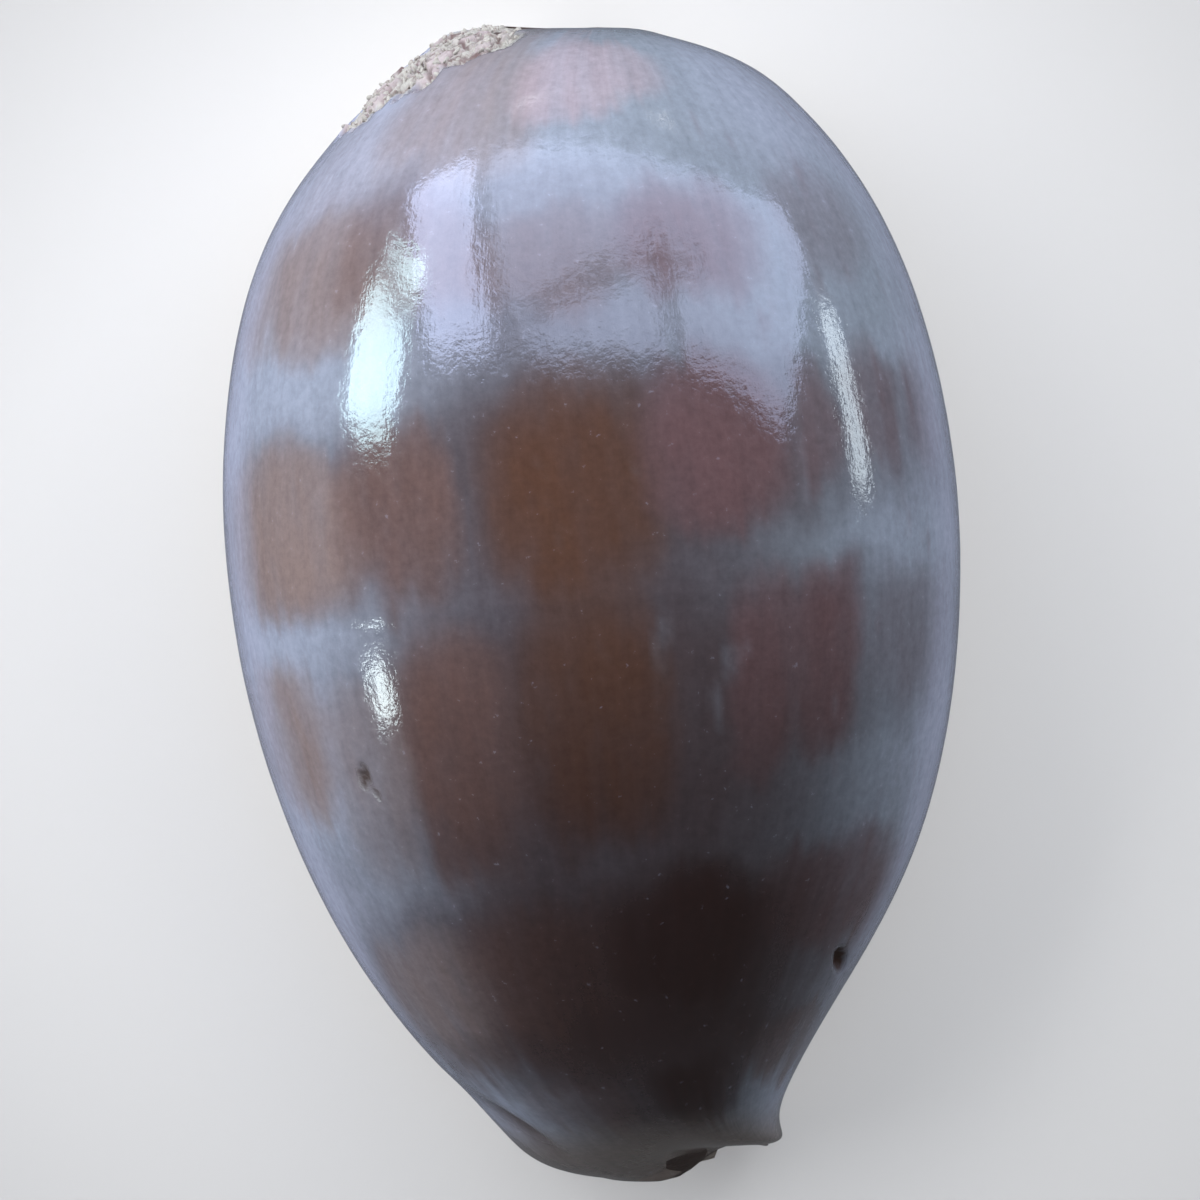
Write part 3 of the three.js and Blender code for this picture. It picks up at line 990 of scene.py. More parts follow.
class Mould:
    """The mesh that the form is pressed on: every vertex knows its row, station and sheet."""

    FOLD_ROWS, BASE_ROWS, FLANK_ROWS, WHORL_ROWS = 12, 26, 76, 16
    LIP_STATIONS, BACK_STATIONS, HOLLOW_STATIONS = 460, 290, 120
    HOLLOW_ROW_STEP = 8
    FLANK_TURN, BASE_TURN = 0.47, 0.74  # turns where a flank meets the base, and the base meets a fold

    def __init__(self) -> None:
        """Lays out the rows of both sheets and joins them into one closed skin."""
        self.attributes: dict[str, list[float]] = {
            name: [] for name in ("station", "share", "turn", "inside", "piece")
        }
        self.triangles: list[tuple[int, int, int]] = []
        rows = self._rows()
        outer = [self._add_row(row, 0.0) for row in rows]
        for a, b in zip(outer, outer[1:]):
            self._strip(a, b, False)
        self._add_hollow(rows, outer)

    def _rows(self) -> list[tuple[Piece, float, float]]:
        """The piece, share and turn of every row of the outer sheet.

        Returns:
            The rows in order round the section.
        """
        counts = {
            Piece.LABRAL_FOLD: self.FOLD_ROWS,
            Piece.LABRAL_BASE: self.BASE_ROWS,
            Piece.LABRAL_FLANK: self.FLANK_ROWS,
            Piece.COLUMELLAR_FLANK: self.FLANK_ROWS,
            Piece.COLUMELLAR_BASE: self.BASE_ROWS,
            Piece.COLUMELLAR_FOLD: self.FOLD_ROWS,
            Piece.WHORL: self.WHORL_ROWS,
        }
        flank, base = self.FLANK_TURN, self.BASE_TURN
        turns = {
            Piece.LABRAL_FOLD: (-1.0, -base),
            Piece.LABRAL_BASE: (-base, -flank),
            Piece.LABRAL_FLANK: (-flank, 0.0),
            Piece.COLUMELLAR_FLANK: (0.0, flank),
            Piece.COLUMELLAR_BASE: (flank, base),
            Piece.COLUMELLAR_FOLD: (base, 1.0),
            Piece.WHORL: (1.0, 1.0),
        }
        rows = []
        for piece, count in counts.items():
            for step in range(count):
                share = step / count
                rows.append((piece, share, mix(*turns[piece], share)))
        rows.append((Piece.WHORL, 1.0, 1.0))
        return rows

    def _add_row(self, row: tuple[Piece, float, float], inside: float) -> tuple[np.ndarray, list[int]]:
        """Adds one row of vertices.

        Args:
            row: The row's piece, share and turn.
            inside: 1 on the sheet that faces the hollow, and 0 on the other.

        Returns:
            The row's station angles and vertex numbers.
        """
        piece, share, turn = row
        if inside:
            count = self.HOLLOW_STATIONS
        elif piece in (Piece.LABRAL_FLANK, Piece.COLUMELLAR_FLANK, Piece.WHORL):
            count = self.BACK_STATIONS
        else:
            count = self.LIP_STATIONS
        stations = np.linspace(-float(ShellForm.TIP), float(ShellForm.TIP), count + 1)
        start = len(self.attributes["station"])
        self.attributes["station"].extend(stations)
        for name, value in (("share", share), ("turn", turn), ("inside", inside), ("piece", piece)):
            self.attributes[name].extend([float(value)] * len(stations))
        return stations, list(range(start, start + len(stations)))

    def _strip(
        self, a: tuple[np.ndarray, list[int]], b: tuple[np.ndarray, list[int]], flipped: bool
    ) -> None:
        """Joins two neighbouring rows that may have different stations with triangles.

        Args:
            a: One row's station angles and vertex numbers.
            b: The next row's.
            flipped: Whether the triangles face the other way.
        """
        (at_a, ids_a), (at_b, ids_b) = a, b
        i = j = 0
        while i < len(ids_a) - 1 or j < len(ids_b) - 1:
            step_a = j == len(ids_b) - 1 or (i < len(ids_a) - 1 and at_a[i + 1] <= at_b[j + 1])
            third = ids_a[i + 1] if step_a else ids_b[j + 1]
            self._triangle((ids_a[i], ids_b[j], third), flipped)
            if step_a:
                i += 1
            else:
                j += 1

    def _triangle(self, corners: tuple[int, int, int], flipped: bool) -> None:
        """Adds one triangle unless two of its corners are the same."""
        if len(set(corners)) == 3:
            self.triangles.append(corners[::-1] if flipped else corners)

    def _add_hollow(
        self, rows: Sequence[tuple[Piece, float, float]], outer: Sequence[tuple[np.ndarray, list[int]]]
    ) -> None:
        """Adds the sheet that faces the hollow, sewn to the outer one along both free edges and both rims.

        Args:
            rows: The outer sheet's rows.
            outer: Their station angles and vertex numbers.
        """
        last = len(rows) - 1
        picked = sorted({*range(0, last, self.HOLLOW_ROW_STEP), last})
        inner = {index: self._add_row(rows[index], 1.0) for index in picked[1:-1]}
        for low, high in zip(picked, picked[1:]):
            a, b = inner.get(low, outer[low]), inner.get(high, outer[high])
            inner_a = (a[0][1:-1], a[1][1:-1])
            inner_b = (b[0][1:-1], b[1][1:-1])
            self._strip(inner_a, inner_b, True)
            for tip, flipped in ((0, True), (-1, False)):
                rim = [outer[index][1][tip] for index in range(low, high + 1)]
                near = 0 if tip == 0 else -1
                first, second = inner_a[1][near], inner_b[1][near]
                half = len(rim) // 2
                for start, finish in zip(rim[:half], rim[1:half + 1]):
                    self._triangle((start, finish, first), flipped)
                self._triangle((rim[half], second, first), flipped)
                for start, finish in zip(rim[half:], rim[half + 1:]):
                    self._triangle((start, finish, second), flipped)

    def mesh(self) -> bpy.types.Mesh:
        """The mould as a mesh whose vertices all lie at the origin.

        Returns:
            The mesh, with what every vertex knows as attributes.
        """
        count = len(self.attributes["station"])
        corners = np.array(self.triangles)
        used = np.unique(corners)
        renumbered = np.full(count, -1)
        renumbered[used] = np.arange(len(used))
        mesh = bpy.data.meshes.new("shell_mould")
        mesh.from_pydata([(0.0, 0.0, 0.0)] * len(used), [], renumbered[corners].tolist())
        for name, values in self.attributes.items():
            kind, dtype = ("INT", np.int32) if name == "piece" else ("FLOAT", np.float32)
            layer = mesh.attributes.new(name, kind, "POINT")
            layer.data.foreach_set("value", np.array(values, dtype)[used])
        return mesh


# --- Wear, teeth and marks that are modelled ----------------------------------------------------------------


@dataclass(frozen=True)
class Pit:
    """A pit in the enamel: its place on the back, half sizes across and along, and depth, in millimetres."""

    x: float
    y: float
    half_x: float
    half_y: float
    depth: float


@dataclass(frozen=True)
class Stroke:
    """A straight stretch of the skin in plan: where it starts, the way it runs, and its length."""

    x: float
    y: float
    heading: float
    length: float

    def along_and_off(self, x: Value, y: Value) -> tuple[Value, Value]:
        """How far a place is along the stretch, and how far to the left of it.

        Args:
            x: The place's x.
            y: The place's y.

        Returns:
            Both distances.
        """
        run, rise = math.cos(math.radians(self.heading)), math.sin(math.radians(self.heading))
        from_x, from_y = x - self.x, y - self.y
        return from_x * run + from_y * rise, from_y * run - from_x * rise


Span = tuple[float, float]  # where something starts to rise from 0, and where it has reached 1


@dataclass(frozen=True)
class CrustPatch:
    """The outline of the chalky crust, in millimetres."""

    edge: Stroke = Stroke(-12.4, 28.7, 21.5, 13.2)  # its upper edge in plan
    edge_fade: Span = (-0.1, 0.5)
    wander: float = 2.2
    wander_scale: float = 0.5
    end_wander: float = 1.5  # how many times more its two ends wander
    lean: float = 0.15  # how far it slips along the edge for each millimetre of height
    lean_from: float = 9.0
    start_fade: Span = (-0.4, 0.6)
    finish_fade: float = 0.8
    narrows: Span = (10.0, 5.0)  # heights over which both ends draw in
    narrows_by: float = 4.0
    low_fade: Span = (6.6, 7.6)  # heights of its lower edge
    low_wander: float = 3.2
    low_slope: float = 0.12


class Relief:
    """Small forms on the skin, as heights in millimetres that its points move out along their normals."""

    SWELLS, RIPPLES, GROWTH_FOLDS = 0.10, 0.026, 0.018
    SWELL_SCALE, RIPPLE_SCALE = 0.10, 0.55
    FOLDS_ROUND, FOLD_DRAW = 26, 0.05  # growth folds round half the section, and their scale along the shell
    ABOVE_BASE: Span = (0.5, 3.0)
    FLAKE_HEIGHT, CRACK_DEPTH, CRUST_SINK, FLECK_HEIGHT = 0.45, 0.35, 0.20, 0.35
    FLAKE_SCALE, FLAKE_SHAKE, SHAKE_SCALE, FLECK_SCALE = 0.75, 1.2, 0.9, 2.2
    CRACK: Span = (0.14, 0.02)
    GROOVE_DEPTH, GROOVE_HALF_WIDTH = 0.45, 0.45
    GROOVE_HEIGHTS: Span = (3.0, 6.0)
    SPIRE_DEPTH, SPIRE_HALF_X, SPIRE_HALF_Y = 0.40, 1.7, 1.2
    SPIRE_HEIGHTS: Span = (8.0, 11.0)
    PIT_WALL: Span = (1.15, 0.35)  # in half sizes of the pit
    PIT_HEIGHTS: Span = (6.0, 8.0)
    DEEP_PIT = 1 / 6  # the depth where a pit's painted shade is darkest and its gloss dullest
    CRUST = CrustPatch()
    FOLD = Stroke(-9.6, -28.6, -36.9, 6.4)
    SPIRE = (2.6, 33.2)
    PITS = (
        Pit(12.7, -21.7, 0.42, 0.75, 0.7),
        Pit(-13.8, -8.9, 0.35, 0.85, 0.20),
        Pit(-13.2, -9.9, 0.22, 0.35, 0.12),
        Pit(-3.4, 33.9, 0.30, 0.22, 0.5),
        Pit(-4.3, 33.5, 0.25, 0.20, 0.4),
        Pit(-8.0, 32.2, 0.35, 0.18, 0.4),
    )

    def __init__(self, graph: Graph, place: Value, turn: Value) -> None:
        """Keeps the tree and the place.

        Args:
            graph: The tree.
            place: The place on the skin, in millimetres.
            turn: The turn round the section.
        """
        self.graph = graph
        self.place = place
        self.turn = turn
        self.x, self.y, self.z = place.parts()

    def crust(self) -> Value:
        """Where the chalky crust sits: a strip along the margin at the rear left.

        Returns:
            The share of crust, from 0 to 1.
        """
        patch = self.CRUST
        length = patch.edge.length
        along, off = patch.edge.along_and_off(self.x, self.y)
        wander = self.graph.noise(self.place, patch.wander_scale, 3.0) * patch.wander
        broken = along + wander * patch.end_wander + (self.z - patch.lean_from) * patch.lean
        narrower = self.z.rise(*patch.narrows) * patch.narrows_by
        start = (broken - narrower).rise(*patch.start_fade)
        finish = (broken + narrower).rise(length, length - patch.finish_fade)
        low = (self.z + wander * patch.low_wander - along * patch.low_slope).rise(*patch.low_fade)
        return (off + wander).rise(*patch.edge_fade) * (start * finish) * low

    def flakes(self) -> tuple[Value, Value]:
        """The crust's plates: each one's own share from 0 to 1, and the share of a crack beside it.

        Returns:
            The two shares.
        """
        shaken = self.place + self.graph.noise(self.place, self.SHAKE_SCALE, 2.0) * self.FLAKE_SHAKE
        sockets = {"Vector": shaken, "Scale": self.FLAKE_SCALE}
        plate = self.graph.value("ShaderNodeTexVoronoi", {"feature": "F1"}, sockets, "Color")
        edge = self.graph.value("ShaderNodeTexVoronoi", {"feature": "DISTANCE_TO_EDGE"}, sockets, "Distance")
        return plate.parts()[0], edge.rise(*self.CRACK)

    def dents(self) -> Value:
        """The single pits.

        Returns:
            Their depth in millimetres.
        """
        total: Any = 0.0
        for pit in self.PITS:
            away = (((self.x - pit.x) / pit.half_x) ** 2 + ((self.y - pit.y) / pit.half_y) ** 2).root()
            total = total + away.rise(*self.PIT_WALL) * pit.depth
        return total * self.z.rise(*self.PIT_HEIGHTS)

    def pitted(self) -> Value:
        """How far a place is down a pit, from 0 to 1."""
        return (self.dents() / self.DEEP_PIT).least(1.0)

    def fold_groove(self) -> Value:
        """The groove inside the rolled margin at the front left, as a share of its depth.

        Returns:
            The share, from 0 to 1.
        """
        along, off = self.FOLD.along_and_off(self.x, self.y)
        lengthwise = bell(along / (self.FOLD.length / 2) - 1)
        return bell(off / self.GROOVE_HALF_WIDTH) * lengthwise * self.z.rise(*self.GROOVE_HEIGHTS)

    def height(self, crust: Value, plate: Value, crack: Value) -> Value:
        """The relief of the back, the crust and the marks.

        Args:
            crust: The share of crust.
            plate: The crust plates' own shares.
            crack: The share of a crack between two plates.

        Returns:
            The height in millimetres that a point moves out along its normal.
        """
        graph = self.graph
        swells = graph.noise(self.place, self.SWELL_SCALE, 1.0) * self.SWELLS
        ripples = graph.noise(self.place, self.RIPPLE_SCALE, 3.0) * self.RIPPLES
        lengthwise = graph.joined(self.turn * self.FOLDS_ROUND, self.y * self.FOLD_DRAW, 0.0)
        folds = graph.noise(lengthwise, 1.0, 3.0) * self.GROWTH_FOLDS
        rough = (plate - 0.5) * self.FLAKE_HEIGHT - crack * self.CRACK_DEPTH - self.CRUST_SINK
        fleck = graph.noise(self.place, self.FLECK_SCALE, 3.0, 0.65) * self.FLECK_HEIGHT
        spire_x, spire_y = self.SPIRE
        spire = bell((self.x - spire_x) / self.SPIRE_HALF_X) * bell((self.y - spire_y) / self.SPIRE_HALF_Y)
        dimple = spire * self.z.rise(*self.SPIRE_HEIGHTS) * self.SPIRE_DEPTH
        hollows = self.fold_groove() * self.GROOVE_DEPTH + dimple
        smooth = (swells + ripples + folds) * self.z.rise(*self.ABOVE_BASE) - hollows
        return mix(smooth, rough + fleck, crust) - self.dents()


# --- The shell's colours ------------------------------------------------------------------------------------


@dataclass(frozen=True)
class Blotch:
    """A blotch of colour: its middle and half sizes, as shares across the back and in y."""

    across: float
    y: float
    half_across: float
    half_y: float
    tint: Tint
    strength: float


class Painting:
    """The shell's colours, laid on the points of its skin.

    Spans named SIDE are shares of the half width from the crest line, those named ACROSS are the same with
    a sign, from -1 to 1, and those named LENGTH are places along y and those named HEIGHT along z, in
    millimetres. The numbers named SHARE say how strongly a colour is laid on.
    """

    CLOUD_SCALE, WANDER_SCALE = 0.09, 0.16
    STREAKS_ROUND, STREAK_DRAW = 30, 0.10  # streaks round half the section, and their scale along the shell
    FINE_ROUND, FINE_DRAW = 70, 0.16

    BLUE_ACROSS: Span = (-0.2, 0.5)
    # the pale lavender towards the sides, partly callus colour and partly painted sheen
    PALE_SIDE: Span = (0.55, 1.0)
    PALE_SHARE = 0.30
    # painted shade along the crest, from the middle of the shell towards the front
    CREST_SIDE: Span = (0.78, 0.20)
    CREST_LENGTH: Span = (27.0, 8.0)
    CREST_SHARE = 0.9

    SQUARENESS = 2.6
    BLOTCH_EDGE: Span = (2.3, 0.15)
    WANDER_ALONG, STREAKS_ALONG, FINE_ALONG = 4.0, 3.2, 1.6  # how far the edges are drawn out lengthwise
    WANDER_ACROSS, FINE_ACROSS = 0.10, 0.04
    STREAKS_PATCHY, CLOUDS_PATCHY = 1.1, 0.5

    LINE: Span = (0.08, 0.22)
    LINE_ACROSS: Span = (0.0, 0.5)
    LINE_LENGTH: Span = (-26.0, 2.0)
    LEFT_LINES = 0.25
    DARK_LINE: Span = (0.10, 0.24)
    DARK_LINE_ACROSS: Span = (0.2, 0.6)
    LINE_SHARE = 0.35

    # painted shade over the front half, strongest over the middle of the back, fading towards both margins
    # and lighter at the tip
    FRONT_LENGTH: Span = (6.0, -22.0)
    FRONT_ACROSS: Span = (-1.0, -0.1)
    FRONT_SIDE: Span = (1.1, 0.5)
    TIP_LENGTH: Span = (-31.0, -24.0)
    TIP_SHARE, FRONT_SHARE = 0.45, 0.84
    # the pale lavender rim along the margins, partly callus colour and partly painted sheen
    RIM_SIDE: Span = (0.86, 0.98)
    RIM_HEIGHT: Span = (3.0, 7.0)
    RIM_LENGTH: Span = (-32.0, -20.0)
    RIM_SHARE = 0.7
    SHOULDER_ACROSS: Span = (0.30, 0.80)
    SHOULDER_LENGTH: Span = (20.0, 28.0)
    SHOULDER_SHARE = 0.35
    BEAK_LENGTH: Span = (-29.5, -33.0)
    BEAK_SHARE = 0.85

    BASE_TURN: Span = (0.46, 0.56)
    BASE_HEIGHT: Span = (6.0, 3.0)
    BASE_WANDER, BASE_SHARE, BASE_CLOUDS = 4, 0.85, 0.4
    STAIN_MIDDLE, STAIN_WANDER = 0.5, 2
    STAIN: Span = (0.5, 1.3)
    STAIN_SHARE, GAP_SHARE = 0.5, 0.8
    INSIDE_FROM_RIM: Span = (0.3, 2.5)  # stations in from the tip
    CANAL_TO_HOLLOW: Span = (22.0, 34.0)

    PINK_PLATES: Span = (0.55, 0.95)
    PINK_SHARE = 0.5
    CRUST_STAIN_SCALE = 0.8
    CRUST_STAIN: Span = (0.04, 0.14)
    CRACK_STAIN, CRACK_SHARE = 0.12, 0.6
    MOSS_FROM = -4.0
    MOSS_OVER: Span = (0.0, 2.0)
    # the second is the share of painted shade in the fold groove
    MOSS_SHARE, GROOVE_SHARE = 0.6, 0.8
    GROOVE_DULLNESS, HOLLOW_DULLNESS = 0.5, 0.6
    # The wide dusk veils over the band rows are partly the bands' darker ground and partly painted shade over
    # the middle of the back.
    BLOTCHES = (
        # partly painted light: a lighter lavender veil where the rear left is lit
        Blotch(-0.72, 26.5, 0.36, 5.0, Tint.LAVENDER_RIM, 0.40),
        Blotch(-0.30, 20.0, 0.60, 4.6, Tint.DUSK, 0.35),
        Blotch(-0.85, 19.2, 0.40, 3.6, Tint.TAN, 0.35),
        Blotch(-0.30, 5.8, 0.70, 5.4, Tint.DUSK, 0.70),
        Blotch(0.50, 8.6, 0.50, 4.2, Tint.DUSK, 0.50),
        Blotch(-0.05, -7.0, 0.62, 6.2, Tint.DUSK, 0.65),
        Blotch(0.55, -3.8, 0.42, 4.6, Tint.DUSK, 0.45),
        Blotch(-0.05, -21.5, 0.95, 4.6, Tint.DUSK, 0.70),
        Blotch(-0.40, 29.0, 0.28, 4.0, Tint.TAN, 0.62),
        Blotch(-0.78, 25.5, 0.20, 3.2, Tint.TAN, 0.25),
        Blotch(0.12, 30.4, 0.28, 2.2, Tint.PINK, 0.50),
        Blotch(-0.78, 18.8, 0.19, 3.3, Tint.TAN, 0.55),
        Blotch(-0.48, 20.5, 0.20, 3.6, Tint.UMBER, 0.55),
        Blotch(-0.08, 19.0, 0.20, 2.8, Tint.UMBER, 0.45),
        Blotch(0.34, 20.0, 0.19, 3.2, Tint.RED_BROWN, 0.70),
        Blotch(0.74, 21.0, 0.12, 3.2, Tint.RED_BROWN, 0.34),
        Blotch(-0.78, 5.4, 0.18, 4.6, Tint.TAN, 0.88),
        Blotch(-0.49, 5.9, 0.14, 5.0, Tint.UMBER, 0.82),
        Blotch(-0.04, 6.4, 0.20, 5.8, Tint.WARM_BROWN, 0.92),
        Blotch(0.34, 8.3, 0.17, 4.4, Tint.RED_BROWN, 0.82),
        Blotch(0.60, 9.2, 0.05, 3.4, Tint.RED_BROWN, 0.55),
        Blotch(0.77, 9.8, 0.06, 3.6, Tint.RED_BROWN, 0.50),
        Blotch(0.91, 10.2, 0.05, 3.2, Tint.RED_BROWN, 0.40),
        Blotch(-0.90, -6.8, 0.12, 4.0, Tint.TAN, 0.80),
        Blotch(-0.41, -8.2, 0.16, 6.4, Tint.UMBER, 0.85),
        Blotch(-0.67, -9.5, 0.10, 5.0, Tint.TAN, 0.45),
        Blotch(-0.55, -15.0, 0.34, 3.2, Tint.DUSK, 0.30),
        Blotch(-0.02, -6.6, 0.19, 6.4, Tint.WARM_BROWN, 0.92),
        Blotch(0.43, -4.6, 0.08, 5.0, Tint.RED_BROWN, 0.74),
        Blotch(0.60, -3.7, 0.09, 4.7, Tint.RED_BROWN, 0.80),
        Blotch(0.84, -2.6, 0.10, 3.6, Tint.RED_BROWN, 0.22),
        Blotch(-0.70, -22.6, 0.20, 3.8, Tint.TAN, 0.55),
        Blotch(-0.25, -22.0, 0.28, 4.6, Tint.UMBER, 0.80),
        Blotch(0.24, -19.8, 0.25, 4.0, Tint.DARK_UMBER, 0.95),
        Blotch(0.72, -17.6, 0.22, 3.4, Tint.RED_BROWN, 0.75),
        Blotch(0.00, -26.0, 0.80, 2.4, Tint.DUSK, 0.70),
        Blotch(0.30, -28.8, 0.25, 2.0, Tint.DARK_UMBER, 0.80),
        Blotch(0.80, -26.6, 0.18, 1.8, Tint.UMBER, 0.50),
        Blotch(-0.40, -29.4, 0.25, 1.6, Tint.UMBER, 0.35),
    )

    def __init__(self, relief: Relief, across: Value, inside: Value, to_rim: Value) -> None:
        """Keeps what the colours depend on, and makes the noises that they share.

        Args:
            relief: The forms on the skin.
            across: The share of the half width from the crest line, from -1 to 1.
            inside: 1 on the sheet that faces the hollow.
            to_rim: The station angle left to the tip.
        """
        self.relief = relief
        self.graph = relief.graph
        self.across = across
        self.inside = inside
        self.to_rim = to_rim
        self.clouds = self.graph.noise(relief.place, self.CLOUD_SCALE, 2.0)
        self.wander = self.graph.noise(relief.place, self.WANDER_SCALE, 2.0)
        lengthwise = self.graph.joined(relief.turn * self.STREAKS_ROUND, relief.y * self.STREAK_DRAW, 0.0)
        self.streaks = self.graph.noise(lengthwise, 1.0, 4.0, 0.6)

    def _ground(self) -> Value:
        """The pale enamel between the blotches, with painted shade along the crest and partly painted sheen
        towards the sides.

        Returns:
            The colour.
        """
        graph, side = self.graph, abs(self.across)
        colour = graph.tint(Tint.LAVENDER_GROUND, Tint.BLUE_GROUND, self.across.rise(*self.BLUE_ACROSS))
        # The pale lavender towards both sides is partly the callus colour and partly painted sheen.
        pale = side.rise(*self.PALE_SIDE) * (self.PALE_SHARE + self.clouds)
        colour = graph.tint(colour, Tint.LAVENDER_RIM, pale)
        # Painted shade along the crest, from the middle of the shell towards the front.
        crest_shade = side.rise(*self.CREST_SIDE) * (self.CREST_SHARE + self.clouds)
        return graph.tint(colour, Tint.CREST_HAZE, crest_shade * self.relief.y.rise(*self.CREST_LENGTH))

    def _blotched(self, colour: Value) -> Value:
        """The colour with every blotch laid over it, their edges drawn out lengthwise.

        Args:
            colour: The colour below.

        Returns:
            The colour.
        """
        graph = self.graph
        turn, y = self.relief.turn, self.relief.y
        fine = graph.noise(graph.joined(turn * self.FINE_ROUND, y * self.FINE_DRAW, 0.0), 1.0, 2.0, 0.6)
        drawn_y = y + self.wander * self.WANDER_ALONG + self.streaks * self.STREAKS_ALONG
        drawn_y = drawn_y + fine * self.FINE_ALONG
        across = self.across + self.wander * self.WANDER_ACROSS + fine * self.FINE_ACROSS
        patchy = 1 + self.streaks * self.STREAKS_PATCHY + self.clouds * self.CLOUDS_PATCHY
        for blotch in self.BLOTCHES:
            aside = abs(across - blotch.across) / blotch.half_across
            away = abs(drawn_y - blotch.y) / blotch.half_y
            far = aside ** self.SQUARENESS + away ** self.SQUARENESS
            share = far.rise(*self.BLOTCH_EDGE) * blotch.strength * patchy
            colour = graph.tint(colour, blotch.tint, share)
        lines = self.streaks.rise(*self.LINE) * (self.LEFT_LINES + self.across.rise(*self.LINE_ACROSS))
        lines = lines * y.rise(*self.LINE_LENGTH) * self.LINE_SHARE
        colour = graph.tint(colour, Tint.BLUE_GROUND, lines)
        dark_lines = (-fine).rise(*self.DARK_LINE) * self.across.rise(*self.DARK_LINE_ACROSS)
        return graph.tint(colour, Tint.RED_BROWN, dark_lines * self.LINE_SHARE)

    def _base(self, colour: Value, gap: Value) -> Value:
        """The colour with the cream base, the gaps between the teeth, painted shadow inside the canals and
        the hollow's violet.

        Args:
            colour: The colour below.
            gap: The share of a gap between two teeth.

        Returns:
            The colour.
        """
        relief, graph = self.relief, self.graph
        low = (relief.z + self.wander * self.BASE_WANDER).rise(*self.BASE_HEIGHT)
        base = abs(relief.turn).rise(*self.BASE_TURN).most(low)
        stain = self.STAIN_MIDDLE + self.wander * self.STAIN_WANDER + self.streaks
        stain = stain.rise(*self.STAIN)
        cream = graph.tint(Tint.CREAM, Tint.TAN, stain * self.STAIN_SHARE)
        colour = graph.tint(colour, cream, base * (self.BASE_SHARE + self.clouds * self.BASE_CLOUDS))
        colour = graph.tint(colour, Tint.TOOTH_GAP, gap * self.GAP_SHARE)
        deep = self.inside * self.to_rim.rise(*self.INSIDE_FROM_RIM)
        canal = self.to_rim.rise(*reversed(self.CANAL_TO_HOLLOW))
        # Painted shadow inside the canals near both tips, and the hollow's violet further in.
        colour = graph.tint(colour, Tint.SHADOW_BROWN, deep * canal)
        return graph.tint(colour, Tint.HOLLOW_VIOLET, deep * self.to_rim.rise(*self.CANAL_TO_HOLLOW))

    def _worn(self, colour: Value, crust: Value, plate: Value, crack: Value) -> Value:
        """The colour with the crust, its stained cracks, and painted shade in the fold groove and down the
        pits.

        Args:
            colour: The colour below.
            crust: The share of crust.
            plate: The crust plates' own shares.
            crack: The share of a crack between two plates.

        Returns:
            The colour.
        """
        relief, graph = self.relief, self.graph
        chalk = graph.tint(Tint.CHALK, Tint.PINK, plate.rise(*self.PINK_PLATES) * self.PINK_SHARE)
        stain = graph.noise(relief.place, self.CRUST_STAIN_SCALE, 3.0, 0.65) + crack * self.CRACK_STAIN
        stain = stain.rise(*self.CRUST_STAIN).most(crack * self.CRACK_SHARE)
        chalk = graph.tint(chalk, Tint.UMBER, stain)
        moss = (relief.x - self.MOSS_FROM).rise(*self.MOSS_OVER)
        chalk = graph.tint(chalk, Tint.MOSS_GREY, moss * self.MOSS_SHARE)
        colour = graph.tint(colour, chalk, crust)
        # Painted shade in the fold groove and down the pits.
        colour = graph.tint(colour, Tint.SHADOW_BROWN, relief.fold_groove() * self.GROOVE_SHARE)
        return graph.tint(colour, Tint.SHADOW_BROWN, relief.pitted())

    def colour(self, gap: Value, crust: Value, plate: Value, crack: Value) -> Value:
        """The colour of the skin.

        Args:
            gap: The share of a gap between two teeth.
            crust: The share of crust.
            plate: The crust plates' own shares.
            crack: The share of a crack between two plates.

        Returns:
            The colour field.
        """
        graph, side, across = self.graph, abs(self.across), self.across
        y, z = self.relief.y, self.relief.z
        colour = self._blotched(self._ground())
        # Painted shade: the front darkens over the middle of the back, fading towards both margins and
        # lighter at the tip itself.
        front = y.rise(*self.FRONT_LENGTH) * across.rise(*self.FRONT_ACROSS) * side.rise(*self.FRONT_SIDE)
        front = front * mix(self.TIP_SHARE, self.FRONT_SHARE, y.rise(*self.TIP_LENGTH))
        colour = graph.tint(colour, Tint.FRONT_HAZE, front)
        # The pale lavender along the margins is partly the callus colour and partly painted sheen.
        rim = side.rise(*self.RIM_SIDE) * z.rise(*self.RIM_HEIGHT) * y.rise(*self.RIM_LENGTH)
        colour = graph.tint(colour, Tint.LAVENDER_RIM, rim * (self.RIM_SHARE + self.clouds))
        shoulder = across.rise(*self.SHOULDER_ACROSS) * y.rise(*self.SHOULDER_LENGTH)
        colour = graph.tint(colour, Tint.LAVENDER_RIM, shoulder * self.SHOULDER_SHARE)
        colour = self._base(colour, gap)
        tip = y.rise(*self.BEAK_LENGTH) * (1 - self.inside)
        colour = graph.tint(colour, Tint.OLIVE_TIP, tip * self.BEAK_SHARE)
        return self._worn(colour, crust, plate, crack)

    def dullness(self, crust: Value) -> Value:
        """How far the gloss is worn off.

        Args:
            crust: The share of crust.

        Returns:
            The share, from 0 to 1.
        """
        groove = self.relief.fold_groove() * self.GROOVE_DULLNESS
        return crust.most(self.relief.pitted()).most(groove).most(self.inside * self.HOLLOW_DULLNESS)


